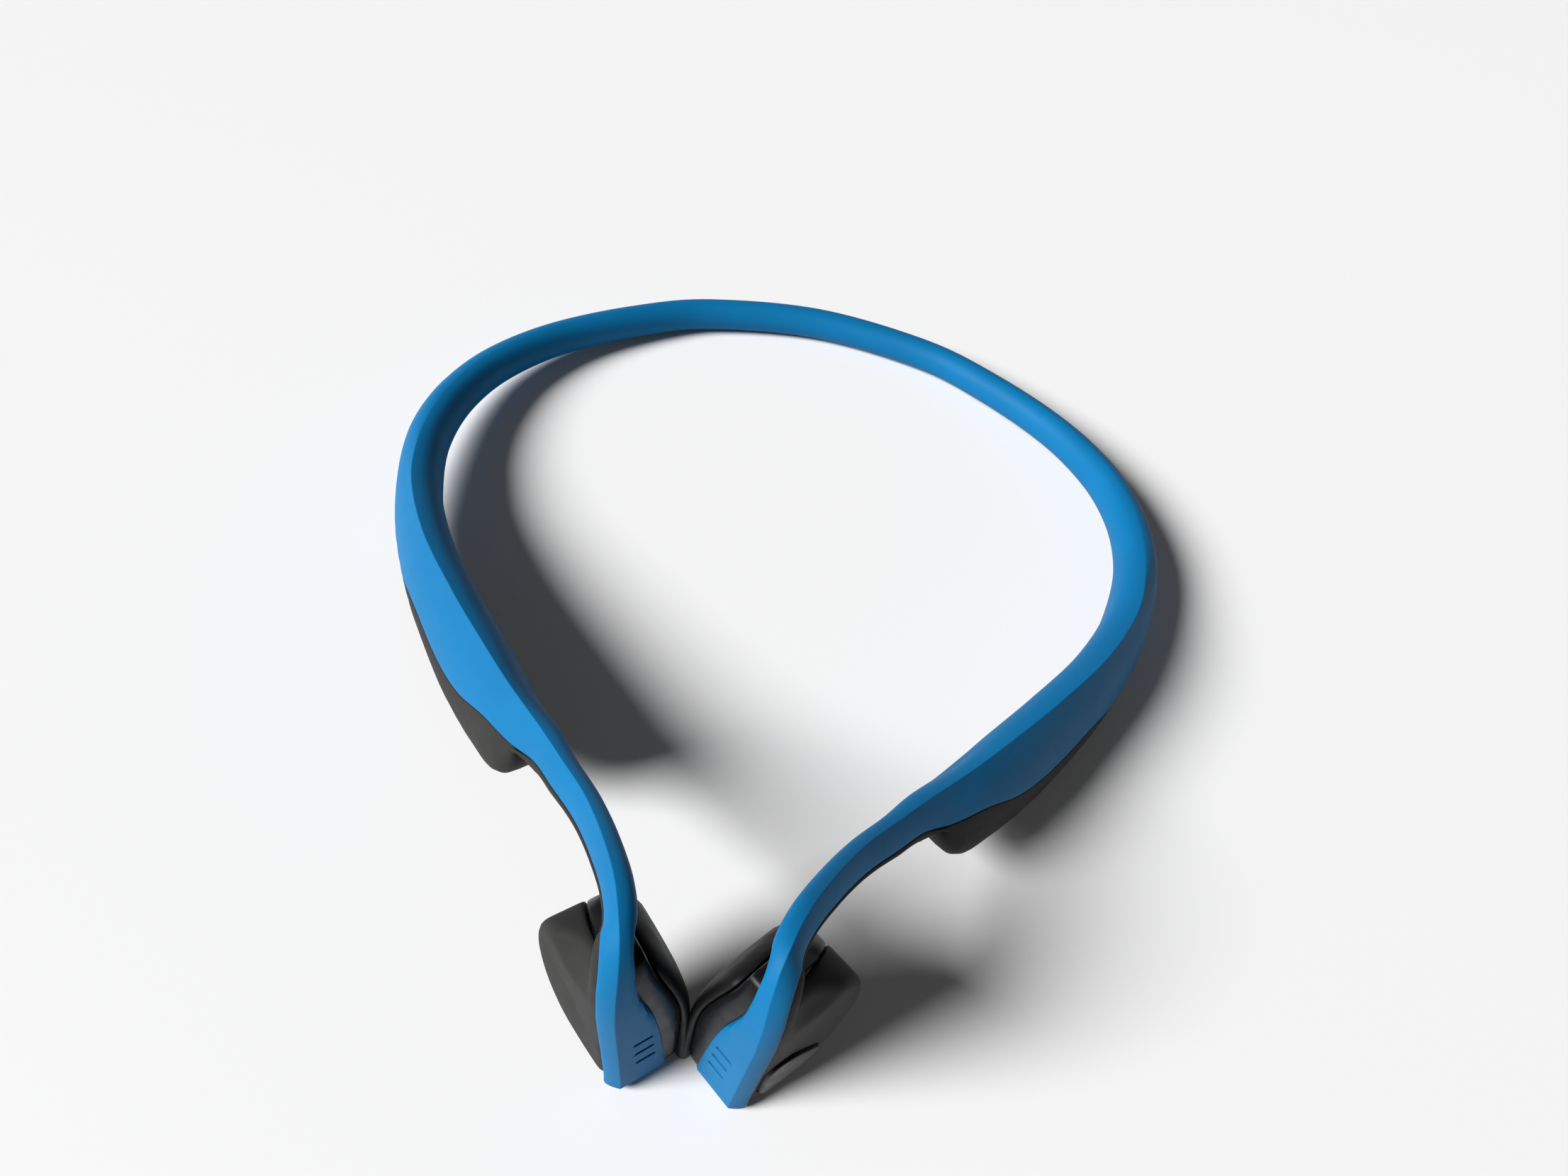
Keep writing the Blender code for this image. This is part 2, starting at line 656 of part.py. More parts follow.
def make_button(housing, side):
    """The multifunction button in the outer face of the left transducer, and its switch."""
    cutter = face_prism("multifunction_hole", inset(BUTTON_OUTLINE, -GAP), 3.0, 0.2,
                        "black_silicone", side, True)
    cut(housing, cutter)
    button = face_prism("multifunction_button", BUTTON_OUTLINE, 2.3, 0.9, "black_plastic", side)
    set_origin(button, world_point(at_face(OUTER_FACE, 8.8, 10.3), side))
    face_prism("multifunction_switch", ((5.4, 6.6), (7.6, 8.2), (6.8, 9.4), (5.4, 8.4)),
               0.05, -0.55, "steel", side)


def make_microphone(housing, side, word):
    """A small microphone behind a slot in the outer face."""
    d, z = MIC_SLOT
    slot = ((d, z), (d + 0.5, z), (d + 0.5, z + 1.6), (d, z + 1.6))
    cut(housing, face_prism(f"{word}_mic_slot", slot, 3.0, 0.2, "black_silicone", side, True))
    body = ((d - 0.3, z - 0.6), (d + 2.1, z - 0.6), (d + 2.1, z + 1.8), (d - 0.3, z + 1.8))
    face_prism(f"{word}_microphone", body, 0.5, -0.3, "steel", side)


def make_transducer(side, word):
    housing = make_housing(side, word)
    make_fascia(side, word)
    make_frame_and_pad(side, word)
    make_driver(side, word)
    if side == LEFT:
        make_button(housing, side)
    make_microphone(housing, side, word)


def make_arm(side, word):
    """Everything in front of one flex zone, hung on the flex axis."""
    before = set(bpy.data.objects)
    if side == LEFT:
        make_battery_side(side, word)
    else:
        make_board_side(side, word)
    make_hook(side, word)
    make_transducer(side, word)
    made = set(bpy.data.objects) - before
    middle = FLEX_AXIS_PLACE
    empty = pivot(f"{word}_arm_pivot", world_point(on_section(middle, 0, floor_level(middle) / 2, 0), side))
    bpy.context.view_layer.update()
    for item in sorted(made, key=lambda item: item.name):
        hang_on(item, empty)


def main():
    clear_scene()
    make_neckband()
    for side, word in ((LEFT, "left"), (RIGHT, "right")):
        make_arm(side, word)


main()
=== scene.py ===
"""The looks of a bone conduction headset: silicone skins, transducers, keys, materials, light."""

import math

import bmesh
import bpy
import numpy as np
from mathutils import Matrix, Vector


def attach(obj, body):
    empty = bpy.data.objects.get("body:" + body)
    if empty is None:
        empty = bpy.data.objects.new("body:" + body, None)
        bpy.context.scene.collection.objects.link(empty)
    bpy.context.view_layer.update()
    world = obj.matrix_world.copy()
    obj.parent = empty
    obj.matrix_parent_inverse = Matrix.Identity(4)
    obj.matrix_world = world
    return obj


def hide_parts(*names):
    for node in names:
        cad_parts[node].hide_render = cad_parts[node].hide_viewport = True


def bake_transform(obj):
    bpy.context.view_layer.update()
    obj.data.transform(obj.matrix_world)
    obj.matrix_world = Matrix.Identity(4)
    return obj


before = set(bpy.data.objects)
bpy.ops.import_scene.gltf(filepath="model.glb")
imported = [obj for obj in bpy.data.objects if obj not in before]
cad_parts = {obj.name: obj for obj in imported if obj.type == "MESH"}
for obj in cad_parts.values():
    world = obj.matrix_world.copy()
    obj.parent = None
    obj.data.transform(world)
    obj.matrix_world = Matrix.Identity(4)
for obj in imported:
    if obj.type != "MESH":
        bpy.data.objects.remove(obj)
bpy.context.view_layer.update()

# ---------------------------------------------------------------- the arm's driving numbers, in mm
MM = 0.001
MIDDLE_Y = 3.6375
SIDES = ((1, "left"), (-1, "right"))
# x, y, z of the ridge; heading of the outward side; half width outside and inside; height;
# height of the colour seam on the outer and inner side, as a share of the section's height.
STATIONS = np.array((
    (0.0, 76.3, 5.8, 90, 2.75, 2.75, 5.8, 0.50, 0.50),
    (20.5, 73.0, 5.9, 73, 2.75, 2.75, 5.8, 0.50, 0.50),
    (33.5, 66.3, 6.5, 60, 2.8, 2.8, 6.0, 0.50, 0.50),
    (45.9, 56.2, 7.6, 44, 2.9, 2.9, 6.3, 0.50, 0.50),
    (53.9, 45.3, 8.9, 29, 3.1, 3.1, 6.7, 0.50, 0.50),
    (57.9, 34.5, 10.2, 13, 3.2, 3.4, 7.2, 0.52, 0.52),
    (59.0, 24.5, 11.4, 0, 3.3, 3.6, 8.0, 0.58, 0.60),
    (58.2, 15.5, 12.7, -12, 3.3, 3.9, 9.3, 0.62, 0.66),
    (55.8, 6.5, 14.2, -22, 3.4, 4.2, 11.0, 0.64, 0.68),
    (50.0, -5.0, 16.8, -32, 3.9, 4.3, 13.2, 0.64, 0.68),
    (42.3, -15.9, 19.0, -36, 4.7, 4.3, 15.0, 0.62, 0.66),
    (35.7, -24.2, 20.6, -37.5, 5.0, 4.0, 16.2, 0.47, 0.53),
    (29.8, -31.4, 22.3, -37, 3.9, 3.2, 15.8, 0.31, 0.37),
    (24.0, -38.2, 24.6, -34, 2.2, 2.6, 6.6, 0.62, 0.62),
    (20.0, -43.4, 26.9, -32, 1.9, 2.1, 5.1, 0.70, 0.70),
    (16.0, -49.0, 30.0, -31, 1.75, 2.0, 4.5, 0.74, 0.74),
    (12.6, -55.3, 33.6, -32, 1.7, 2.0, 4.2, 0.74, 0.74),
    (10.0, -61.2, 36.4, -33, 1.65, 2.0, 4.1, 0.72, 0.72),
    (8.4, -66.3, 36.9, -35, 1.6, 1.95, 4.2, 0.66, 0.62),
    (7.5, -69.6, 33.6, -37.5, 1.5, 1.9, 4.4, 0.55, 0.5),
    (7.1, -71.0, 27.0, -38.5, 1.4, 1.9, 4.6, 0.45, 0.5),
    (7.0, -71.3, 18.0, -38.5, 1.35, 1.9, 4.6, 0.42, 0.5),
    (7.0, -71.3, 9.0, -38.5, 1.8, 1.9, 4.8, 0.60, 0.60),
    (7.0, -71.3, 0.0, -38.5, 1.8, 1.9, 4.8, 0.60, 0.60),
))
FLEX_START = 3.5
FLEX_END = 6.3
FACE_ANGLE = math.radians(-38.5)
FRONT_EDGE = np.array((7.0, -71.3, 0.0))
OUTER_FACE = 1.35
OUTER_SLANT = 0.13
# The place where the upright starts. From there down, the front edge swerves outward and the
# transducer's inner side leans, each by its height.
UPRIGHT_START = 18
SWERVE_HEIGHTS = (0, 4, 13, 20, 24, 29, 33, 36)
SWERVES = (-0.75, -0.7, -0.2, 0.25, 0.45, 0.45, 0.2, 0)
LEAN_HEIGHTS = (0, 13, 16, 19, 22, 25, 28, 31)
LEANS = (-1.35, -1.4, -1.15, -0.55, 0.3, 1.3, 2.2, 2.7)

# ---------------------------------------------------------------- the skin's own numbers
BAND_END = 5.5
FACETS_START = 8.5
SEAM_OPENS = 6.7
SEAM_SETTLES = 9.6
HOOK_START = 13.15
TOE_START = 11.2
TOE_PLACE = 12.54
TOE_LENGTH = 0.62
TOE_ROUNDNESS = 2.0
TOE_FILLET = (0.14, 1.1)
# Places toward the toe, with the pod's height, and its outer and inner half width.
TOE_HEIGHTS = ((11.6, 12.0, TOE_PLACE), (15.9, 14.8, 12.2))
TOE_WIDTHS_START = 11.0
TOE_WIDTHS = ((TOE_WIDTHS_START, 11.8, 12.2, TOE_PLACE), (5.0, 4.9, 4.5, 3.6), (4.0, 3.8, 3.5, 3.0))
TOE_WIDTH_LEFT = 0.68
RIDGE_RADIUS = 0.1
EDGE_RADIUS = 0.2
SKIN_WALL = 0.9
SEAM_GAP = 0.12
FASCIA_MORPH = (17.7, 19.35)
# The tip: the last place along the arm and how many mm one place rises there; heights above the
# tip's end; the section's middle, its half size and the share of the rounding in each direction.
LAST_PLACE = len(STATIONS) - 1
LAST_STEP = 9
TIP_RADIUS = 1.9
TIP_HEIGHTS = (1.9, 1.6, 1.3, 1.0, 0.75, 0.5, 0.3, 0.15, 0.05, 0.0)
TIP_MIDDLE = np.array((-2.6, -1.75))
TIP_HALF = np.array((4.6, 1.75))
TIP_SHRINK = (0.42, 0.8)
# The blue strip's inner facet on the transducer: height, width.
FASCIA = np.array((
    (0.0, 7.15), (3.2, 7.0), (6.8, 6.6), (10.0, 6.2), (14.6, 5.5), (18.5, 4.75), (21.5, 3.95),
    (24.5, 3.05), (27.5, 2.35), (30.0, 2.0), (33.0, 1.85), (40.0, 1.85),
))
FASCIA_SLOPE = 0.04
FASCIA_BACK = 2.9
STRIP_BACK = 1.95
GROOVES = 3
GROOVE_LOW = (-2.35, 14.3)
GROOVE_HIGH = (-4.2, 14.25)
GROOVE_PITCH = 3.15
GROOVE_DRIFT = (-0.27, -0.3)
GROOVE_RADIUS = 0.34
GROOVE_SINK = 0.02


def smooth(a, b, x):
    t = min(1.0, max(0.0, (x - a) / (b - a)))
    return t * t * (3 - 2 * t)


def catmull(rows, index, t):
    p0, p1, p2, p3 = rows[index:index + 4]
    return 0.5 * (2 * p1 + (p2 - p0) * t + (2 * p0 - 5 * p1 + 4 * p2 - p3) * t * t
                  + (3 * p1 - p0 - 3 * p2 + p3) * t * t * t)


FIRST = STATIONS[1].copy()
FIRST[0] *= -1
FIRST[3] = 180 - FIRST[3]
ROWS = np.vstack([FIRST, STATIONS, 2 * STATIONS[-1] - STATIONS[-2]])


def station(u):
    index = int(min(max(math.floor(u), 0), len(STATIONS) - 2))
    return catmull(ROWS, index, u - index)


def axes_at(u):
    """Ridge point, outward direction and ridge normal at a place along the arm."""
    here = station(u)
    ahead, behind = station(u + 0.02)[:3], station(max(u - 0.02, 0))[:3]
    if u < 0.02:
        behind = ahead * (-1, 1, 1)
    heading = (ahead - behind) / np.linalg.norm(ahead - behind)
    angle = math.radians(here[3])
    out = np.array((math.cos(angle), math.sin(angle), 0.0))
    out = out - heading * (out @ heading)
    out /= np.linalg.norm(out)
    up = np.cross(heading, out)
    return here[:3], out, up / np.linalg.norm(up), heading


def swerve(z):
    """How far outward the transducer's front edge runs from the upright at a height."""
    return float(np.interp(z, SWERVE_HEIGHTS, SWERVES))


def put(u, flat):
    """Section points (outward, up) at u, as points in mm."""
    point, out, up, _ = axes_at(u)
    if u > UPRIGHT_START:
        point = point + out * swerve(point[2])
    return point + np.outer(flat[:, 0], out) + np.outer(flat[:, 1], up)


def at_face(outward, behind, z):
    """A point by its distance outward, back from the front edge, and up."""
    out = np.array((math.cos(FACE_ANGLE), math.sin(FACE_ANGLE), 0.0))
    back = np.array((-math.sin(FACE_ANGLE), math.cos(FACE_ANGLE), 0.0))
    outward = outward + swerve(z) * smooth(-2.5, 0.0, outward) * (1 - smooth(3.0, 14.0, behind))
    return FRONT_EDGE + out * outward + back * behind + np.array((0, 0, z))


def at_levels(line, levels):
    """A (back, up) line on the transducer, with each point at its own level outward."""
    return np.array([at_face(level, behind, z) for (behind, z), level in zip(line, levels)])


def leaning(z):
    """How far the transducer's inner side stands back: its top is thinner than its middle."""
    return np.interp(z, LEAN_HEIGHTS, LEANS)


# ---------------------------------------------------------------- section outlines
def body_height(u, height):
    """Height of the black underside, with the pod's rounded toe."""
    slim = station(HOOK_START)[6]
    if u < TOE_START or u > HOOK_START:
        return height
    reach, rise = TOE_FILLET
    slim += rise * min(1.0, max(0.0, (TOE_PLACE + reach - u) / reach)) ** 2
    if u > TOE_PLACE:
        return slim
    places, heights = TOE_HEIGHTS
    full = np.interp(u, (TOE_START, *places), (station(TOE_START)[6], *heights))
    return slim + (full - slim) * toe_share(u)


def toe_share(u):
    """Rises from 0 at the toe's front to 1 where its rounding ends."""
    x = min(1.0, max(0.0, (TOE_PLACE - u) / TOE_LENGTH))
    return (1 - (1 - x) ** TOE_ROUNDNESS) ** (1 / TOE_ROUNDNESS)


# Where the keys stand on the round band, in degrees.
OUTER_ANGLES = (90, 65, 35, 5, -25, -50, -75, -90)
INNER_ANGLES = (90, 115, 140, 160, 180, 205, 230, 255, 270)


def half_keys(u):
    """Outline keys from the ridge to the middle of the underside, outer and inner half."""
    wide_out, wide_in, height, seam_out, seam_in = station(u)[4:9]
    seam_out, seam_in = seam_out * height, seam_in * height
    low = body_height(u, height)
    pod_out, pod_in = toe_width(u, wide_out, 1), toe_width(u, wide_in, 2)
    middle = (0.35 * (pod_out - pod_in) / 2, -low)
    outer = np.array((
        (0, 0), (0.47 * wide_out, -0.36 * seam_out), (0.76 * wide_out, -0.7 * seam_out),
        (0.9 * wide_out, -seam_out), (pod_out, -0.3 * seam_out - 0.644 * low),
        (0.8 * pod_out, -0.96 * low), (0.35 * pod_out, -low), middle,
    ))
    inner = np.array((
        (0, 0), (-0.5 * wide_in, -0.06 * height), (-0.86 * wide_in, -0.18 * height),
        (-wide_in, -0.6 * seam_in), (-wide_in, -seam_in), (-0.98 * pod_in, -0.4 * seam_in - 0.552 * low),
        (-0.78 * pod_in, -0.95 * low), (-0.35 * pod_in, -low), middle,
    ))
    share = smooth(BAND_END, FACETS_START, u)
    if share < 1:
        outer = share * outer + (1 - share) * ellipse(OUTER_ANGLES, wide_out, height)
        inner = share * inner + (1 - share) * ellipse(INNER_ANGLES, wide_in, height)
    return outer, inner


def toe_width(u, width, which):
    """The pod keeps its width close to the toe, where the ridge line already narrows."""
    if u <= TOE_WIDTHS_START or u > TOE_PLACE:
        return width
    full = np.interp(u, TOE_WIDTHS[0], TOE_WIDTHS[which])
    return max(width, full) * (TOE_WIDTH_LEFT + (1 - TOE_WIDTH_LEFT) * toe_share(u))


def ellipse(angles, half, height):
    """Points of the band's round section, whose top is the ridge."""
    turned = np.radians(angles)
    return np.stack([half * np.cos(turned), height / 2 * (np.sin(turned) - 1)], 1)


DENSE = 8


def dense(keys, crease):
    """A smooth open line through the keys; crease 0 leaves the first key flat-topped."""
    first = crease * (2 * keys[0] - keys[1]) + (1 - crease) * keys[1] * (-1, 1)
    rows = np.vstack([first, keys, keys[-1] * 2 - keys[-2]])
    line = [catmull(rows, i, t / DENSE) for i in range(len(keys) - 1) for t in range(DENSE)]
    return np.array(line + [keys[-1]])


def lengths(line):
    return np.concatenate([[0], np.cumsum(np.linalg.norm(np.diff(line, axis=0), axis=1))])


def sample(line, where):
    along = lengths(line)
    return np.stack([np.interp(where, along, line[:, k]) for k in (0, 1)], 1)


def seam_places(u):
    """Where the two colours meet, as places along the outer and inner half's keys."""
    share = smooth(SEAM_OPENS, SEAM_SETTLES, u)
    return 7 + (3 - 7) * share, 8 + (4 - 8) * share


def halves(u):
    """The full dense outer and inner half outlines at u, from the ridge down."""
    outer, inner = half_keys(u)
    crease = smooth(BAND_END, FACETS_START, u)
    return dense(outer, crease), dense(inner, crease)


def cut_at(line, place, keep_first=True):
    """The part of a dense line before or after a place given in keys."""
    index = place * DENSE
    whole = int(math.floor(index))
    if whole >= len(line) - 1:
        return line if keep_first else line[-1:]
    point = line[whole] + (line[whole + 1] - line[whole]) * (index - whole)
    if keep_first:
        return np.vstack([line[:whole + 1], point]) if index > whole else line[:whole + 1]
    return np.vstack([point, line[whole + 1:]])


def fascia_width(z):
    return float(np.interp(z, FASCIA[:, 0], FASCIA[:, 1]))


def fascia_lines(z):
    """The transducer end of the blue strip: narrow outer facet, wide flat inner facet."""
    width = sum(fascia_width(z + k) for k in (-1.5, -0.75, 0, 0.75, 1.5)) / 5 + swerve(z)
    slope = -FASCIA_SLOPE
    outer = np.array((
        (0, 0), (0.34, -0.33), (0.68, -0.7), (0.98, -1.1), (1.22, -1.52), (1.35, -STRIP_BACK),
    ))
    inner = np.array((
        (0, 0), (-0.35 * width, slope * 0.35 * width), (-0.7 * width, slope * 0.7 * width),
        (-width + 0.5, slope * (width - 0.5)), (-width + 0.12, slope * width - 0.12),
        (-width, slope * width - 0.6), (-width, -FASCIA_BACK),
    ))
    return dense(outer, 1), dense(inner, 1)


# ---------------------------------------------------------------- mesh building
def new_object(name, points, faces, material, side=1):
    """A mesh object from points in mm on the wearer's left, mirrored for the right side."""
    placed = np.asarray(points, float) * (side, 1, 1)
    placed[:, 1] -= MIDDLE_Y
    mesh = bpy.data.meshes.new(name)
    mesh.from_pydata((placed * MM).tolist(), [], [tuple(int(i) for i in f) for f in faces])
    shape = bmesh.new()
    shape.from_mesh(mesh)
    bmesh.ops.recalc_face_normals(shape, faces=shape.faces)
    if shape.calc_volume(signed=True) < 0:
        bmesh.ops.reverse_faces(shape, faces=shape.faces)
    shape.to_mesh(mesh)
    shape.free()
    mesh.materials.append(material)
    finish_shading(mesh)
    made = bpy.data.objects.new(name, mesh)
    bpy.context.scene.collection.objects.link(made)
    return made


def finish_shading(mesh, angle=38):
    mesh.shade_smooth()
    mesh.set_sharp_from_angle(angle=math.radians(angle))


def loft_faces(rows, count):
    faces = []
    for row in range(rows - 1):
        for k in range(count):
            a, b = row * count + k, row * count + (k + 1) % count
            faces.append((a, b, b + count, a + count))
    return faces


def loft(name, rings, material, side=1):
    """Skins closed rings of equal length and closes each end with a fan."""
    count = len(rings[0])
    points = np.vstack(rings)
    faces = loft_faces(len(rings), count)
    ends = [rings[0].mean(0), rings[-1].mean(0)]
    points = np.vstack([points, ends])
    last = (len(rings) - 1) * count
    for start, centre in ((0, len(points) - 2), (last, len(points) - 1)):
        faces += [(start + k, start + (k + 1) % count, centre) for k in range(count)]
    return new_object(name, points, faces, material, side)


def strip_loft(name, outer, inner, material, side=1):
    """A half shell: outer and inner open lines of equal length in each row, closed all round."""
    count = len(outer[0])
    rings = [np.vstack([a, b[::-1]]) for a, b in zip(outer, inner)]
    size = 2 * count
    faces = loft_faces(len(rings), size)
    last = (len(rings) - 1) * size
    for start in (0, last):
        faces += [(start + k, start + k + 1, start + size - 2 - k, start + size - 1 - k)
                  for k in range(count - 1)]
    return new_object(name, np.vstack(rings), faces, material, side)


def inward(line, distance):
    """Each point of an open line moved to the side that holds the section's middle."""
    tangent = np.gradient(line, axis=0)
    tangent /= np.maximum(np.linalg.norm(tangent, axis=1), 1e-9)[:, None]
    normal = np.stack([-tangent[:, 1], tangent[:, 0]], 1)
    return line + normal * distance


HALF_COUNT = 13
BEZIER = (0.25, 0.5, 0.75)
EDGE_TURNS = np.radians((30, 60, 90))
EDGE_COUNT = len(EDGE_TURNS)
SKIN_SQUARE = 0.82
LOWER_SQUARE = 0.8


def half_points(line, turn):
    """Points from beside the ridge to the line's end, where a small rounding turns in."""
    total = lengths(line)[-1]
    radius = min(EDGE_RADIUS, total * 0.2)
    points = sample(line, np.linspace(RIDGE_RADIUS, total - radius, HALF_COUNT))
    return np.vstack([points, rounding(points[-1], line[-1], radius, turn)])


def rounding(near, edge, radius, turn):
    """A quarter turn from the last point before an edge, out to the edge and in."""
    along = (edge - near) / max(np.linalg.norm(edge - near), 1e-9)
    across = np.array((-along[1], along[0])) * turn
    return [near + along * radius * math.sin(a) + across * radius * (1 - math.cos(a)) for a in EDGE_TURNS]


def square_ends(outside, inside, share):
    """Moves an inside line's ends so that the wall's edge starts square behind the rounding."""
    for index, step in ((0, 1), (-1, -1)):
        behind = inside[step * EDGE_COUNT]
        anchor = outside[index] + (behind - outside[step * EDGE_COUNT]) * share
        for k in range(EDGE_COUNT):
            inside[index + step * k] = anchor + (behind - anchor) * k / EDGE_COUNT


def skin_row(outer, inner):
    """The blue skin's outside and inside lines at one place, from outer seam to inner seam."""
    right = half_points(outer, -1)
    left = half_points(inner, 1)
    a, b, top = right[0], left[0], outer[0]
    bend = [a * (1 - t) ** 2 + top * 2 * t * (1 - t) + b * t * t for t in BEZIER]
    outside = np.vstack([right[::-1], bend, left])
    inside = inward(outside, SKIN_WALL)
    square_ends(outside, inside, SKIN_SQUARE)
    return outside, inside


def skin_places():
    """Places along the arm from the band's middle to above the tip, closer together at the toe."""
    places = [0, 0.02]
    places += list(np.linspace(0.1, 5.4, 54))
    places += list(np.linspace(5.5, 12.4, 80))
    places += list(np.linspace(12.45, 13.5, 22))
    places += list(np.linspace(13.6, 19.9, 80))
    places += list(np.linspace(20.0, 22.75, 40))
    return places


def make_skin(side, word, material):
    """The blue silicone from the band's middle to the transducer's rounded lower tip."""
    outer_rows, inner_rows = [], []
    for u in skin_places():
        outside, inside = skin_flat(u)
        outer_rows.append(put(u, outside))
        inner_rows.append(put(u, inside))
    for z in TIP_HEIGHTS:
        u = LAST_PLACE - z / LAST_STEP
        outside, inside = skin_flat(u)
        depth = TIP_RADIUS * (1 - math.sqrt(max(0, 1 - (1 - z / TIP_RADIUS) ** 2)))
        scale = 1 - depth / TIP_HALF * TIP_SHRINK
        outer_rows.append(put(u, TIP_MIDDLE + (outside - TIP_MIDDLE) * scale))
        inner_rows.append(put(u, TIP_MIDDLE + (inside - TIP_MIDDLE) * scale))
    skin = strip_loft(f"{word}_skin", outer_rows, inner_rows, material, side)
    for k in range(GROOVES):
        cut_groove(skin, k, side)
    return skin


def skin_flat(u):
    """The skin's outside and inside lines on the section plane at u."""
    outer, inner = halves(min(u, 20))
    place_out, place_in = seam_places(u)
    outer, inner = cut_at(outer, place_out), cut_at(inner, place_in)
    if u < SEAM_SETTLES:
        gap = SEAM_GAP / 2 * (1 - smooth(SEAM_OPENS, SEAM_SETTLES, u))
        outer, inner = trimmed(outer, gap), trimmed(inner, gap)
    outside, inside = skin_row(outer, inner)
    share = smooth(*FASCIA_MORPH, u)
    if share > 0:
        height = station(u)[2]
        wide_out, wide_in = fascia_lines(height)
        wide_outside, _ = skin_row(wide_out, wide_in)
        back = np.linspace(wide_outside[0], wide_outside[-1], len(wide_outside))
        outside = outside * (1 - share) + wide_outside * share
        inside = inside * (1 - share) + back * share
    return outside, inside


def trimmed(line, distance):
    """An open line, shorter by a distance at its end."""
    where = lengths(line)
    end = where[-1] - distance
    return np.vstack([line[where < end], sample(line, [end])])


def capsule(name, start, end, radius, material, side):
    """A rounded rod between two points in mm."""
    start, end = np.asarray(start), np.asarray(end)
    along = (end - start) / np.linalg.norm(end - start)
    first = np.cross(along, (0.3, 0.2, 0.9))
    first /= np.linalg.norm(first)
    second = np.cross(along, first)
    turns = np.linspace(0, 2 * np.pi, 20, endpoint=False)
    circle = np.outer(np.cos(turns), first) + np.outer(np.sin(turns), second)
    rings = []
    for angle in np.radians((-80, -60, -40, -20, 0)):
        rings.append(start + along * radius * math.sin(angle) + circle * radius * math.cos(angle))
    for angle in np.radians((0, 20, 40, 60, 80)):
        rings.append(end + along * radius * math.sin(angle) + circle * radius * math.cos(angle))
    return loft(name, rings, material, side)


def cut(target, cutter):
    """Takes the cutter out of the target, applies it, and removes the cutter."""
    modifier = target.modifiers.new("cut", "BOOLEAN")
    modifier.object = cutter
    modifier.operation = "DIFFERENCE"
    modifier.solver = "EXACT"
    bpy.context.view_layer.update()
    graph = bpy.context.evaluated_depsgraph_get()
    mesh = bpy.data.meshes.new_from_object(target.evaluated_get(graph))
    target.modifiers.clear()
    target.data = mesh
    target.data.name = target.name
    bpy.data.objects.remove(cutter)


def cut_groove(skin, k, side):
    """The groove with this number, counted from the top, across the strip's inner facet."""
    drop = GROOVE_PITCH * k
    ends = []
    for (outward, z), drift in zip((GROOVE_LOW, GROOVE_HIGH), GROOVE_DRIFT):
        place = outward + drift * k
        ends.append(at_face(place, FASCIA_SLOPE * abs(place) + GROOVE_SINK, z - drop))
    cut(skin, capsule("groove", ends[0], ends[1], GROOVE_RADIUS, skin.data.materials[0], side))


# ---------------------------------------------------------------- the black undersides
LOWER_START = 7.1
LOWER_END = 18.0
LOWER_COUNT = 9


def lower_row(u):
    """The black underside's outside line, from inner seam to outer seam."""
    outer, inner = halves(min(u, 20))
    place_out, place_in = seam_places(u)
    outer, inner = cut_at(outer, place_out, False), cut_at(inner, place_in, False)
    line = np.vstack([inner, outer[::-1][1:]])
    where = lengths(line)
    total = where[-1]
    gap = min(SEAM_GAP, total * 0.1)
    middle = where[len(inner) - 1]
    radius = min(EDGE_RADIUS, total * 0.1)
    first = np.linspace(gap + radius, middle, LOWER_COUNT)
    second = np.linspace(middle, total - gap - radius, LOWER_COUNT)[1:]
    points = sample(line, np.concatenate([first, second]))
    start, end = sample(line, [gap]), sample(line, [total - gap])
    return points, start[0], end[0], radius


def lower_places():
    """Places along the arm, closer together around the toe."""
    places = list(np.linspace(LOWER_START, 11.9, 56))
    places += list(TOE_PLACE - 0.6 * np.linspace(1, 0, 30) ** 2)
    places += list(TOE_PLACE + np.linspace(0.01, 0.6, 16))
    places += list(np.linspace(13.2, LOWER_END, 72))
    return places


def make_lower(side, word, material):
    """The black underside of the pod and the hook, as a half shell under the skin."""
    outer_rows, inner_rows = [], []
    for u in lower_places():
        points, start, end, radius = lower_row(u)
        first = rounding(points[0], start, radius, -1)
        last = rounding(points[-1], end, radius, 1)
        line = np.vstack([first[::-1], points, last])
        wall = min(1.0, np.linalg.norm(points[0] - points[-1]) * 0.3 + 0.1)
        inside = inward(line, wall)
        square_ends(line, inside, LOWER_SQUARE)
        outer_rows.append(put(u, line))
        inner_rows.append(put(u, inside))
    return strip_loft(f"{word}_lower_shell", outer_rows, inner_rows, material, side)


# ---------------------------------------------------------------- the transducers
HOUSING_OUTLINE = (
    (2.3, 29.4), (2.0, 26), (2.0, 20), (2.0, 13), (2.0, 6), (2.1, 1.9), (3.0, 1.0), (5.0, 1.2),
    (7.6, 2.6), (10.8, 5.6), (13.7, 10.3), (15.2, 15.2), (15.4, 19.3), (14.5, 23.0), (12.3, 25.8),
    (9.4, 27.9), (5.8, 29.2),
)
FRAME_OUTLINE = (
    (1.6, 29.0), (0.9, 21), (0.5, 14), (0.3, 6), (0.5, 1.7), (1.6, 0.8), (4.4, 1.0),
    (7.6, 2.7), (10.8, 5.7), (13.6, 10.4), (15.0, 15.2), (15.2, 19.2), (14.4, 23.0), (12.2, 26.2),
    (9.2, 28.9), (5.8, 30.8), (2.8, 31.5),
)
PAD_OUTLINE = (
    (1.8, 25.2), (0.9, 21), (0.2, 14), (-0.5, 6), (-0.5, 1.5), (0.8, 0.5), (4.2, 0.9),
    (7.6, 2.7), (10.8, 5.7), (13.4, 10.4), (14.8, 15.2), (14.9, 18.6), (13.8, 21.3), (11.4, 23.8),
    (8.6, 25.6), (5.5, 26.6), (3.0, 26.6),
)
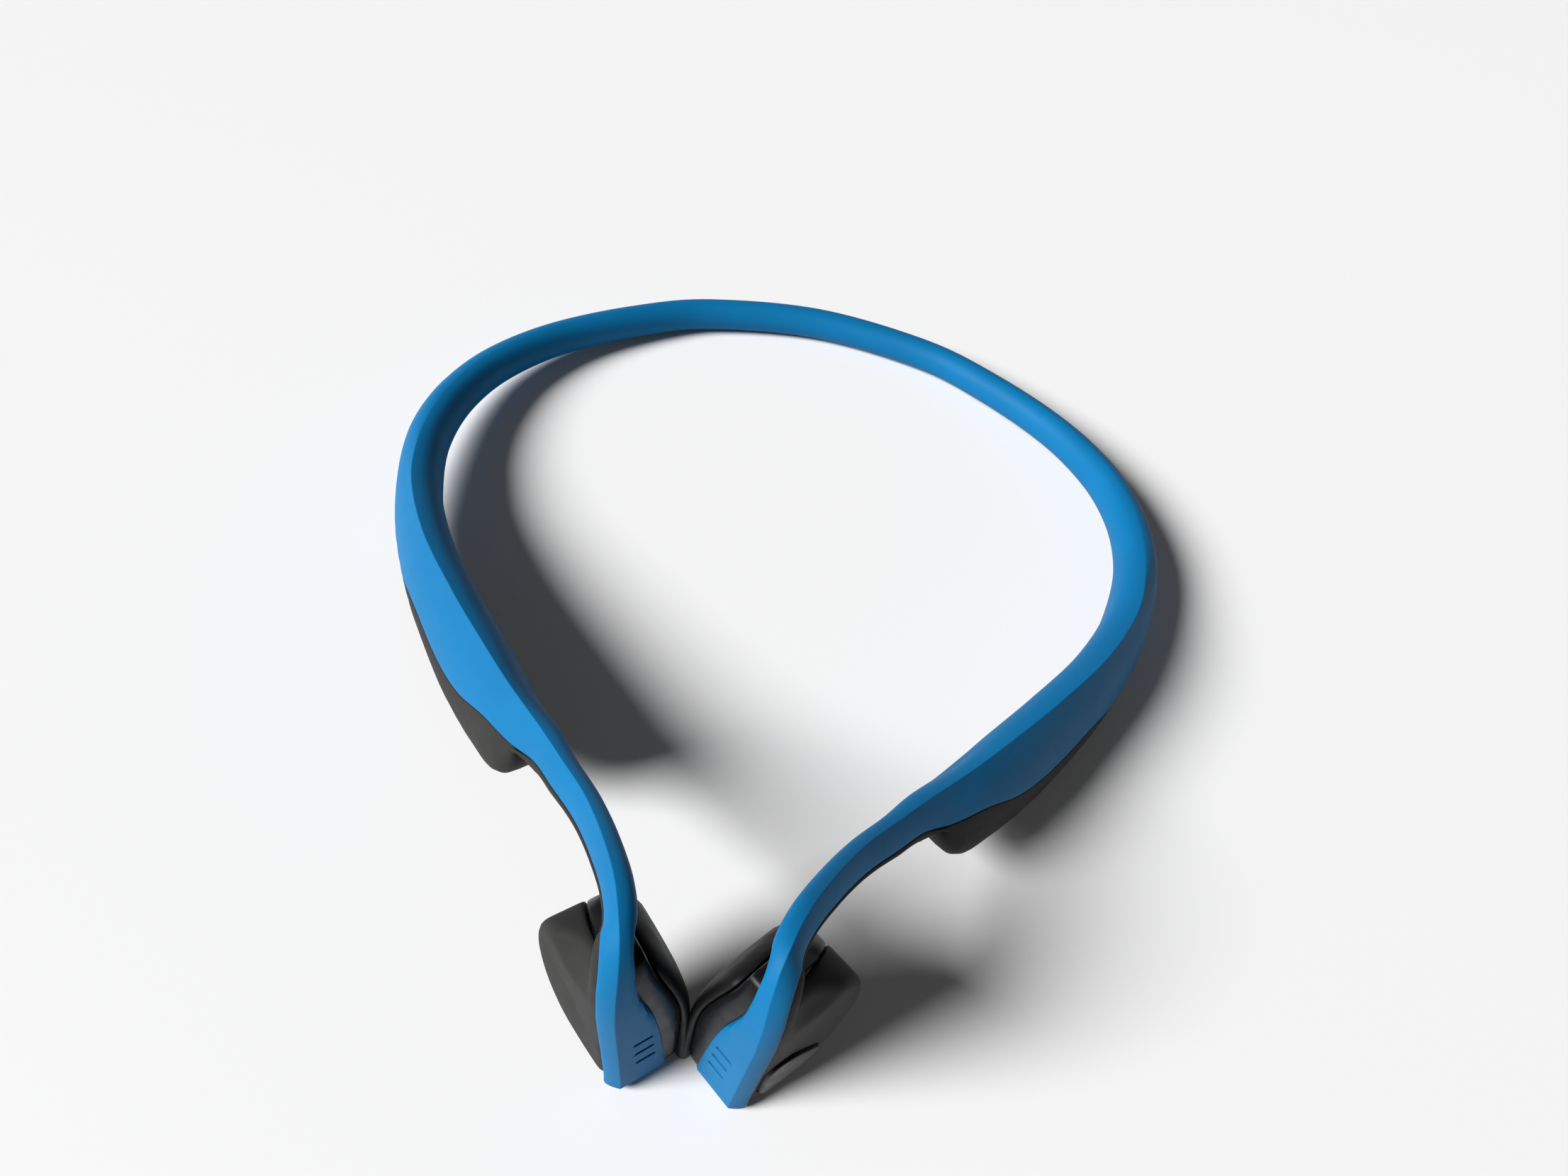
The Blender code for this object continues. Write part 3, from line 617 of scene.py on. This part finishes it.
OUTLINE_COUNT = 96
# Profiles of the ring and the pad: distance in from the outline, level outward.
RIM_PROFILE = (
    (2.2, -3.0), (1.25, -3.1), (1.2, -3.72), (0.3, -3.72), (0.08, -3.85), (0.0, -4.2),
    (0.0, -5.2), (0.05, -6.1), (0.16, -6.75), (0.3, -6.9), (0.6, -6.96), (2.2, -6.96),
)
PAD_START = -7.02
PAD_CROWN = 0.3
PAD_PROFILE = (
    (2.6, 0.0), (0.7, 0.0), (0.42, -0.06), (0.26, -0.2), (0.22, -0.4), (0.34, -0.8),
    (0.68, -1.15), (1.2, -1.45), (1.9, -1.68),
)


def closed_line(keys, count=OUTLINE_COUNT):
    """A smooth closed line through the keys, as evenly spaced points."""
    keys = np.array(keys, float)
    rows = np.vstack([keys[-1], keys, keys[0], keys[1]])
    line = np.array([catmull(rows, i, t / 12) for i in range(len(keys)) for t in range(12)] + [keys[0]])
    along = lengths(line)
    places = np.linspace(0, along[-1], count, endpoint=False)
    return np.stack([np.interp(places, along, line[:, k]) for k in (0, 1)], 1)


def shrunk(line, distance):
    """A closed line moved inward, smoothed enough to keep its corners open."""
    tangent = np.roll(line, -1, 0) - np.roll(line, 1, 0)
    tangent /= np.linalg.norm(tangent, axis=1)[:, None]
    normal = np.stack([-tangent[:, 1], tangent[:, 0]], 1)
    area = np.sum(line[:, 0] * np.roll(line[:, 1], -1) - np.roll(line[:, 0], -1) * line[:, 1])
    moved = line + normal * distance * (1 if area > 0 else -1)
    for _ in range(int(distance / 0.3)):
        moved = 0.5 * moved + 0.25 * (np.roll(moved, 1, 0) + np.roll(moved, -1, 0))
    return moved


def shrinking(rim, scales):
    """Each scale, with the rim drawn toward its middle by it."""
    middle = rim.mean(0)
    for scale in scales:
        yield scale, middle + (rim - middle) * scale


def face_ring(line, level, lean=1.0):
    """A (back, up) line put at a level outward; lean 1 follows the tilted inner side."""
    return at_levels(line, level + lean * leaning(line[:, 1]))


HOUSING_BACK = -3.5
HOUSING_SIDE = -0.6
HOUSING_EDGE = 1.5
HOUSING_CROWN = 0.3
HOUSING_CREASE = 50
# The hollow under the pad: distance in from the outline, level outward.
HOLLOW = ((1.0, -5.5), (1.0, -3.0), (1.6, -2.4), (4.2, -2.2), (4.2, -0.6))
SCOOP_CENTRE = (7.6, 32.0)
SCOOP_SPAN = (6.0, 9.0)
SCOOP_DEPTH = 1.5
SCOOP_FLOOR = -0.5


def outer_ring(line, level):
    """A (back, up) line on the outer face, which slants out toward the back."""
    slant = OUTER_SLANT * (line[:, 0] - line[:, 0].min())
    return at_levels(line, scooped(line, level + slant))


def scooped(line, level):
    """The level of the outer face with the hollow beside the strip's root."""
    away = ((line[:, 0] - SCOOP_CENTRE[0]) / SCOOP_SPAN[0]) ** 2
    away = away + ((line[:, 1] - SCOOP_CENTRE[1]) / SCOOP_SPAN[1]) ** 2
    hollow = np.clip(1 - away, 0, 1)
    return np.maximum(level - SCOOP_DEPTH * hollow * hollow * (3 - 2 * hollow), SCOOP_FLOOR + 0.1 * level)


ROOT_START = 17.6
ROOT_TURNS = 18.4
ROOT_END = 21.6
ROOT_INSET = 0.1
ROOT_DEPTH = 3.4
VOXEL = 0.00026
MELT_STEPS = 22


def root_ring(u):
    """The solid core of the hook's underside where it runs down into the housing."""
    outer, inner = halves(min(u, 20))
    line = np.vstack([cut_at(inner, 4, False), cut_at(outer, 3, False)[::-1][1:]])
    line = inward(line, ROOT_INSET)
    share = smooth(ROOT_TURNS, ROOT_END, u)
    line[:, 1] = line[:, 1] * (1 - share) + share * np.clip(line[:, 1], -ROOT_DEPTH, 0)
    core = (line[-1] + (-0.5, 0.4), (0.3, -1.4), line[0] + (0.5, 0.4))
    return put(u, np.vstack([line, core]))


def make_housing(side, word, material):
    """The outer shell and the hook's root as one moulded body, hollow toward the pad."""
    line = closed_line(HOUSING_OUTLINE)
    rings = []
    for share in np.linspace(0, 1, 10):
        level = HOUSING_BACK * (1 - share) + HOUSING_SIDE * share
        rings.append(face_ring(line, level, 1 - share))
    top = OUTER_FACE - HOUSING_EDGE
    for angle in np.radians((0, 12, 25, 38, 52, 66, 80)):
        edge = shrunk(line, HOUSING_EDGE * (1 - math.cos(angle)))
        rings.append(outer_ring(edge, top + HOUSING_EDGE * math.sin(angle)))
    for scale, ring in shrinking(shrunk(line, HOUSING_EDGE), np.linspace(1, 0.04, 16)):
        rings.append(outer_ring(ring, OUTER_FACE + HOUSING_CROWN * (1 - scale ** 2)))
    body = loft(f"{word}_housing", rings, material, side)
    places = np.linspace(ROOT_START, ROOT_END, 40)
    root = loft("root", [root_ring(u) for u in places], material, side)
    melt(body, root, material)
    hollow = [face_ring(shrunk(line, distance), level) for distance, level in HOLLOW]
    cut(body, loft("hollow", hollow, material, side))
    return body


def melt(body, other, material):
    """Joins two solids into one, with soft fillets where they meet."""
    shape = bmesh.new()
    shape.from_mesh(body.data)
    shape.from_mesh(other.data)
    shape.to_mesh(body.data)
    shape.free()
    bpy.data.objects.remove(other)
    remesh = body.modifiers.new("remesh", "REMESH")
    remesh.mode = "VOXEL"
    remesh.voxel_size = VOXEL
    soften = body.modifiers.new("soften", "SMOOTH")
    soften.factor = 0.5
    soften.iterations = MELT_STEPS
    bpy.context.view_layer.update()
    graph = bpy.context.evaluated_depsgraph_get()
    mesh = bpy.data.meshes.new_from_object(body.evaluated_get(graph))
    body.modifiers.clear()
    body.data = mesh
    if not mesh.materials:
        mesh.materials.append(material)


def make_rim(side, word, material):
    """The glossier ring between the housing and the pad."""
    line = closed_line(FRAME_OUTLINE)
    rings = [face_ring(shrunk(line, distance), level) for distance, level in RIM_PROFILE]
    count = len(line)
    faces = loft_faces(len(rings), count)
    last = (len(rings) - 1) * count
    faces += [(last + k, last + (k + 1) % count, (k + 1) % count, k) for k in range(count)]
    return new_object(f"{word}_rim", np.vstack(rings), faces, material, side)


def make_pad(side, word, material):
    """The soft pad: a low crowned cushion with a pinched edge."""
    line = closed_line(PAD_OUTLINE)
    rings = [face_ring(shrunk(line, distance), PAD_START + level) for distance, level in PAD_PROFILE]
    last_distance, last_level = PAD_PROFILE[-1]
    for scale, ring in shrinking(shrunk(line, last_distance), np.linspace(0.92, 0.06, 12)):
        rings.append(face_ring(ring, PAD_START + last_level - PAD_CROWN * (1 - scale ** 2)))
    pad = loft(f"{word}_pad", rings, material, side)
    return pad


# ---------------------------------------------------------------- keys, slit and port
KEY_OUTLINE = (
    (3.2, 4.4), (3.1, 8.0), (3.2, 11.4), (4.2, 12.9), (5.9, 12.7), (8.2, 11.5), (10.4, 9.8),
    (9.6, 7.6), (7.6, 5.2), (5.6, 3.7), (4.1, 3.4),
)
KEY_GAP = 0.2
KEY_PROUD = 0.12
KEY_CROWN = 0.12
KEY_PROFILE = (
    (0.1, -0.8), (0, -0.7), (0, -0.15), (0.06, KEY_PROUD - 0.1), (0.2, KEY_PROUD - 0.02),
    (0.42, KEY_PROUD),
)
RECESS_LEVELS = (2.5, 0.5, -1.75)
FACE_RISE = 0.15
SLIT = ((3.95, 23.4), (3.25, 21.9))
SLIT_RADIUS = 0.24


def on_outer_face(line, level):
    """A (back, up) line over the slanting outer face, at a level above it."""
    slant = OUTER_SLANT * (line[:, 0] - 2.0)
    return at_levels(line, OUTER_FACE + FACE_RISE + level + slant)


def make_multifunction_key(housing, material):
    """The large soft-edged key low on the left transducer's outer face, and its recess."""
    line = closed_line(KEY_OUTLINE, 72)
    grown = shrunk(line, -KEY_GAP)
    recess = loft("recess", [on_outer_face(grown, level) for level in RECESS_LEVELS], material)
    cut(housing, recess)
    rings = [on_outer_face(shrunk(line, distance), level) for distance, level in KEY_PROFILE]
    for scale, ring in shrinking(shrunk(line, KEY_PROFILE[-1][0]), (0.85, 0.65, 0.45, 0.25, 0.08)):
        rings.append(on_outer_face(ring, KEY_PROUD + KEY_CROWN * (1 - scale ** 2)))
    return loft("multifunction_key", rings, material)


def cut_slit(housing, side, material):
    """The microphone's slit in the outer face."""
    ends = [on_outer_face(np.array([place]), 0.25)[0] for place in SLIT]
    cut(housing, capsule("slit", ends[0], ends[1], SLIT_RADIUS, material, side))


def underside(u):
    """The lowest point of the pod at u, right under its ridge."""
    point, _, up, _ = axes_at(u)
    return point - up * station(u)[6]


def section_box(name, u, centre, size, material, radius, segments=3):
    """A box on the right pod's underside at u, as outward, up and along, with rounded edges."""
    point, out = underside(u), axes_at(u)[1]
    heading = underside(u + 0.1) - underside(u - 0.1)
    heading /= np.linalg.norm(heading)
    up = np.cross(heading, out)
    shape = bmesh.new()
    bmesh.ops.create_cube(shape, size=1)
    for vert in shape.verts:
        vert.co = Vector([a * b for a, b in zip(vert.co, size)])
    bmesh.ops.bevel(shape, geom=shape.edges[:], offset=radius, segments=segments, profile=0.5,
                    affect="EDGES")
    points = np.array([v.co for v in shape.verts]) + np.array(centre)
    faces = [[v.index for v in face.verts] for face in shape.faces]
    shape.free()
    placed = point + points @ np.array([out, up, heading])
    return new_object(name, placed, faces, material, -1)


def join(target, *others):
    """Adds other meshes to the target's as separate closed shells."""
    shape = bmesh.new()
    shape.from_mesh(target.data)
    for other in others:
        shape.from_mesh(other.data)
    shape.to_mesh(target.data)
    shape.free()
    for other in others:
        bpy.data.objects.remove(other)
    finish_shading(target.data)
    return target


VOLUME_KEYS = (("volume_down", 10.35, False), ("volume_up", 11.15, True))
VOLUME_SIZE = (3.2, 2.6, 6.4)
VOLUME_MIDDLE = -0.7
VOLUME_PROUD = 0.35
MARK_SIZE = (0.45, 0.36, 1.8)
MARK_RISE = 0.06
PORT_PLACE = 8.95
PORT_SIZE = (3.4, 0.9, 8.8)
PORT_MIDDLE = -0.6
PORT_SUNK = 0.05
LIP_CENTRE = (PORT_MIDDLE, -0.1, -3.9)
LIP_SIZE = (2.0, 0.5, 0.5)
LIGHT_PLACE = 9.75
LIGHT_SIZE = (0.8, 0.0, 0.8)
HOLE_DEPTH = 4.0
HOLE_GAP = 0.3
LOWER_CREASE = 40


def cut_hole(lower, u, middle, size, radius, material):
    """Opens the underside around something of this size, with a gap all round."""
    hole = (size[0] + 2 * HOLE_GAP, HOLE_DEPTH, size[2] + 2 * HOLE_GAP)
    cut(lower, section_box("hole", u, (middle, 0, 0), hole, material, radius))


def make_volume_key(word, u, plus, material):
    """A volume key with a raised minus or plus."""
    level = VOLUME_SIZE[1] / 2 - VOLUME_PROUD
    key = section_box(f"{word}_key", u, (VOLUME_MIDDLE, level, 0), VOLUME_SIZE, material, 0.55, 5)
    face = level - VOLUME_SIZE[1] / 2 - MARK_RISE
    bars = (MARK_SIZE, MARK_SIZE[::-1]) if plus else (MARK_SIZE,)
    marks = [section_box("mark", u, (VOLUME_MIDDLE, face, 0), bar, material, 0.12) for bar in bars]
    return join(key, *marks)


def make_port_flap(material):
    """The flap over the charging port, with a small lip for a fingernail."""
    level = PORT_SIZE[1] / 2 + PORT_SUNK
    flap = section_box("port_flap", PORT_PLACE, (PORT_MIDDLE, level, 0), PORT_SIZE, material, 0.4, 4)
    return join(flap, section_box("lip", PORT_PLACE, LIP_CENTRE, LIP_SIZE, material, 0.15))


def make_right_pod_details(lower, black):
    """The volume keys, the port flap and the light's hole, each in its own opening."""
    for word, u, plus in VOLUME_KEYS:
        cut_hole(lower, u, VOLUME_MIDDLE, VOLUME_SIZE, 0.6, black)
        key = make_volume_key(word, u, plus, black)
        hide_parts(f"{word}_button")
        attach(key, f"{word}_button_body")
    cut_hole(lower, PORT_PLACE, PORT_MIDDLE, PORT_SIZE, 0.5, black)
    flap = make_port_flap(black)
    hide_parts("port_cover")
    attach(flap, "port_cover_body")
    cut_hole(lower, LIGHT_PLACE, PORT_MIDDLE, LIGHT_SIZE, 0.3, black)
    finish_shading(lower.data, LOWER_CREASE)


# ---------------------------------------------------------------- the wire and cable in the band
CORES = (("wire", -0.78, 0.6, "titanium"), ("cable", 0.78, 0.5, "black_plastic"))


def make_core(side, word, label, across, radius, material):
    """The spring wire or the cable through the bending zone."""
    rings = []
    turns = np.linspace(0, 2 * np.pi, 12, endpoint=False)
    for u in np.linspace(FLEX_START, FLEX_END, 40):
        middle = -min(station(u)[6], 7.4) / 2
        rings.append(put(u, np.stack([across + radius * np.cos(turns),
                                      middle + radius * np.sin(turns)], 1)))
    core = loft(f"{word}_core_{label}", rings, material, side)
    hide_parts(f"{word}_flex_{label}")
    return core


# ---------------------------------------------------------------- materials
def node_material(name, build):
    made = bpy.data.materials.new(name)
    made.use_nodes = True
    tree = made.node_tree
    build(tree, tree.nodes["Principled BSDF"])
    return made


def noise(tree, scale, detail=3.0):
    coordinates = tree.nodes.new("ShaderNodeTexCoord")
    made = tree.nodes.new("ShaderNodeTexNoise")
    made.inputs["Scale"].default_value = scale
    made.inputs["Detail"].default_value = detail
    tree.links.new(coordinates.outputs["Object"], made.inputs["Vector"])
    return made.outputs["Fac"]


def ramp(tree, source, stops):
    """A linear run between (place, colour) stops."""
    made = tree.nodes.new("ShaderNodeValToRGB")
    points = made.color_ramp.elements
    while len(points) < len(stops):
        points.new(0.5)
    for point, (place, colour) in zip(points, stops):
        point.position = place
        point.color = (*colour, 1)
    tree.links.new(source, made.inputs["Fac"])
    return made.outputs["Color"]


def spread(tree, source, low, high):
    made = tree.nodes.new("ShaderNodeMapRange")
    made.inputs["From Min"].default_value = 0.3
    made.inputs["From Max"].default_value = 0.7
    made.inputs["To Min"].default_value = low
    made.inputs["To Max"].default_value = high
    tree.links.new(source, made.inputs["Value"])
    return made.outputs["Result"]


def bump(tree, shader, layers):
    """Stacks bump layers of (height, distance in mm, strength)."""
    before = None
    for source, distance, strength in layers:
        made = tree.nodes.new("ShaderNodeBump")
        made.inputs["Distance"].default_value = distance * MM
        made.inputs["Strength"].default_value = strength
        tree.links.new(source, made.inputs["Height"])
        if before:
            tree.links.new(before, made.inputs["Normal"])
        before = made.outputs["Normal"]
    tree.links.new(before, shader.inputs["Normal"])


def moulded(name, colour, shade, roughness, grain, depth, specular=0.5, metallic=0.0):
    """A moulded surface: fine grain, slow colour drift and uneven gloss."""

    def build(tree, shader):
        slow, fine = noise(tree, 90), noise(tree, grain, 4)
        tree.links.new(ramp(tree, slow, ((0.3, shade), (0.7, colour))), shader.inputs["Base Color"])
        tree.links.new(spread(tree, noise(tree, 420, 5), *roughness), shader.inputs["Roughness"])
        shader.inputs["Specular IOR Level"].default_value = specular
        shader.inputs["Metallic"].default_value = metallic
        bump(tree, shader, ((slow, 0.05, 0.15), (fine, depth, 0.5)))

    return node_material(name, build)


def brushed(name, colour, shade, roughness, stretch):
    """Drawn metal: long thin marks along one direction."""

    def build(tree, shader):
        coordinates = tree.nodes.new("ShaderNodeTexCoord")
        mapping = tree.nodes.new("ShaderNodeMapping")
        mapping.inputs["Scale"].default_value = stretch
        marks = tree.nodes.new("ShaderNodeTexNoise")
        marks.inputs["Scale"].default_value = 1500
        tree.links.new(coordinates.outputs["Object"], mapping.inputs["Vector"])
        tree.links.new(mapping.outputs["Vector"], marks.inputs["Vector"])
        mark = marks.outputs["Fac"]
        tree.links.new(ramp(tree, mark, ((0.3, shade), (0.7, colour))), shader.inputs["Base Color"])
        tree.links.new(spread(tree, mark, *roughness), shader.inputs["Roughness"])
        shader.inputs["Metallic"].default_value = 1.0
        bump(tree, shader, ((mark, 0.01, 0.4),))

    return node_material(name, build)


MATERIALS = {
    "blue_silicone": moulded("blue_silicone", (0.002, 0.122, 0.287), (0.0018, 0.112, 0.268),
                             (0.54, 0.58), 5200, 0.012, 0.1),
    "black_silicone": moulded("black_silicone", (0.024, 0.0238, 0.023), (0.02, 0.02, 0.0195),
                              (0.58, 0.64), 4200, 0.02, 0.08),
    "black_plastic": moulded("black_plastic", (0.007, 0.007, 0.0075), (0.005, 0.005, 0.0055),
                             (0.24, 0.36), 2600, 0.004, 0.07),
    "black_key": moulded("black_key", (0.009, 0.009, 0.0092), (0.007, 0.007, 0.0072),
                         (0.34, 0.46), 2600, 0.01, 0.12),
    "black_pad": moulded("black_pad", (0.008, 0.008, 0.008), (0.006, 0.006, 0.006),
                         (0.48, 0.6), 3600, 0.02, 0.15),
    "board": moulded("board", (0.018, 0.16, 0.07), (0.012, 0.11, 0.05), (0.3, 0.5), 2400, 0.02),
    "battery": moulded("battery", (0.42, 0.43, 0.45), (0.33, 0.34, 0.36), (0.3, 0.45), 1500, 0.04,
                       0.5, 0.7),
    "clear_plastic": moulded("clear_plastic", (0.8, 0.82, 0.84), (0.72, 0.74, 0.77), (0.08, 0.16),
                             1200, 0.003),
    "foam": moulded("foam", (0.05, 0.05, 0.052), (0.03, 0.03, 0.03), (0.85, 0.98), 3000, 0.15, 0.2),
    "titanium": brushed("titanium", (0.52, 0.5, 0.47), (0.42, 0.4, 0.38), (0.28, 0.42), (1, 0.05, 1)),
    "steel": brushed("steel", (0.62, 0.62, 0.62), (0.5, 0.5, 0.51), (0.22, 0.36), (0.08, 1, 1)),
    "copper": brushed("copper", (0.72, 0.32, 0.16), (0.56, 0.22, 0.1), (0.25, 0.4), (1, 1, 0.05)),
}


def dress_cad_nodes():
    """Gives each CAD node that stays its procedural material."""
    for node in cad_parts.values():
        slot = node.data.materials[0].name.split(".")[0] if node.data.materials else ""
        finish = MATERIALS.get(slot) or MATERIALS["black_plastic"]
        for k in range(len(node.material_slots)):
            node.material_slots[k].material = finish


# ---------------------------------------------------------------- camera, floor and light
CAMERA_PLACE = (0, -0.1186375, 0.150)
CAMERA_PITCH = math.radians(50)
CAMERA_YAW = math.radians(1.15)
CAMERA_ROLL = math.radians(11.3)
CAMERA_LENS = 27.667
FLOOR_HALF = 30.0
FLOOR_DROP = 0.0001
KEY_PLACE = (-2.3, -1.2, 1.9)
KEY_STRENGTH = 6.4
KEY_SPREAD = 24
WORLD_STOPS = ((0.0, (0.8, 0.8, 0.8)), (0.12, (0.5, 0.5, 0.5)), (0.3, (0.06, 0.06, 0.06)))


def make_camera():
    """The photograph's camera, which stands in front of the object and is rolled a little."""
    pitch, yaw, roll = CAMERA_PITCH, CAMERA_YAW, CAMERA_ROLL
    flat = math.cos(pitch)
    forward = Vector((math.sin(yaw) * flat, math.cos(yaw) * flat, -math.sin(pitch)))
    level = Vector((math.cos(yaw), -math.sin(yaw), 0))
    above = level.cross(forward)
    right = level * math.cos(roll) + above * math.sin(roll)
    up = above * math.cos(roll) - level * math.sin(roll)
    data = bpy.data.cameras.new("view_camera")
    data.sensor_width = 36
    data.lens = CAMERA_LENS
    data.clip_start = 0.001
    camera = bpy.data.objects.new("view_camera", data)
    rows = zip(right, up, -forward, CAMERA_PLACE)
    camera.matrix_world = Matrix((*rows, (0, 0, 0, 1)))
    bpy.context.scene.collection.objects.link(camera)
    bpy.context.scene.camera = camera


def make_floor():
    mesh = bpy.data.meshes.new("floor")
    half = FLOOR_HALF
    corners = [(-half, -half, 0), (half, -half, 0), (half, half, 0), (-half, half, 0)]
    mesh.from_pydata(corners, [], [(0, 1, 2, 3)])
    floor = bpy.data.objects.new("floor", mesh)
    floor.location.z = -FLOOR_DROP
    bpy.context.scene.collection.objects.link(floor)

    def build(tree, shader):
        shader.inputs["Base Color"].default_value = (0.72, 0.72, 0.72, 1)
        shader.inputs["Roughness"].default_value = 0.7
        bump(tree, shader, ((noise(tree, 800), 0.02, 0.2),))

    mesh.materials.append(node_material("floor", build))


def make_world():
    """A pale glow at the horizon under a dim ceiling, so a low view stays pale too."""
    world = bpy.data.worlds.new("studio")
    world.use_nodes = True
    tree = world.node_tree
    coordinates = tree.nodes.new("ShaderNodeTexCoord")
    parts = tree.nodes.new("ShaderNodeSeparateXYZ")
    tree.links.new(coordinates.outputs["Generated"], parts.inputs["Vector"])
    glow = ramp(tree, parts.outputs["Z"], WORLD_STOPS)
    tree.links.new(glow, tree.nodes["Background"].inputs["Color"])
    bpy.context.scene.world = world


def make_key_light():
    data = bpy.data.lights.new("key", "SUN")
    data.energy = KEY_STRENGTH
    data.angle = math.radians(KEY_SPREAD)
    light = bpy.data.objects.new("key", data)
    light.location = KEY_PLACE
    light.rotation_mode = "QUATERNION"
    light.rotation_quaternion = (-Vector(KEY_PLACE)).to_track_quat("-Z", "Y")
    bpy.context.scene.collection.objects.link(light)


# ---------------------------------------------------------------- assembly
def dress_side(side, word):
    """Makes one side's pieces, hides the CAD nodes they stand in for, and parents the black pieces to the
    arm.
    """
    for label, across, radius, slot in CORES:
        core = make_core(side, word, label, across, radius, MATERIALS[slot])
        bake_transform(core)
    skin = make_skin(side, word, MATERIALS["blue_silicone"])
    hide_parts("neckband_sleeve", *(f"{word}_{n}" for n in (
        "flex_sleeve", "pod_cover", "hook_cover", "front_fascia")))
    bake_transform(skin)
    lower = make_lower(side, word, MATERIALS["black_silicone"])
    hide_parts(f"{word}_pod_shell", f"{word}_hook_underside")
    housing = make_housing(side, word, MATERIALS["black_silicone"])
    cut_slit(housing, side, MATERIALS["black_silicone"])
    if word == "left":
        key = make_multifunction_key(housing, MATERIALS["black_key"])
        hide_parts("multifunction_button")
        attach(key, "multifunction_button_body")
    else:
        make_right_pod_details(lower, MATERIALS["black_silicone"])
    finish_shading(housing.data, HOUSING_CREASE)
    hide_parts(f"{word}_transducer_housing")
    rim = make_rim(side, word, MATERIALS["black_plastic"])
    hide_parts(f"{word}_inner_frame")
    pad = make_pad(side, word, MATERIALS["black_pad"])
    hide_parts(f"{word}_contact_pad")
    for piece in (lower, housing, rim, pad):
        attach(piece, f"{word}_arm")


def main():
    make_camera()
    make_floor()
    make_world()
    make_key_light()
    bpy.context.scene.view_settings.view_transform = "Standard"
    dress_cad_nodes()
    for side, word in SIDES:
        dress_side(side, word)


main()
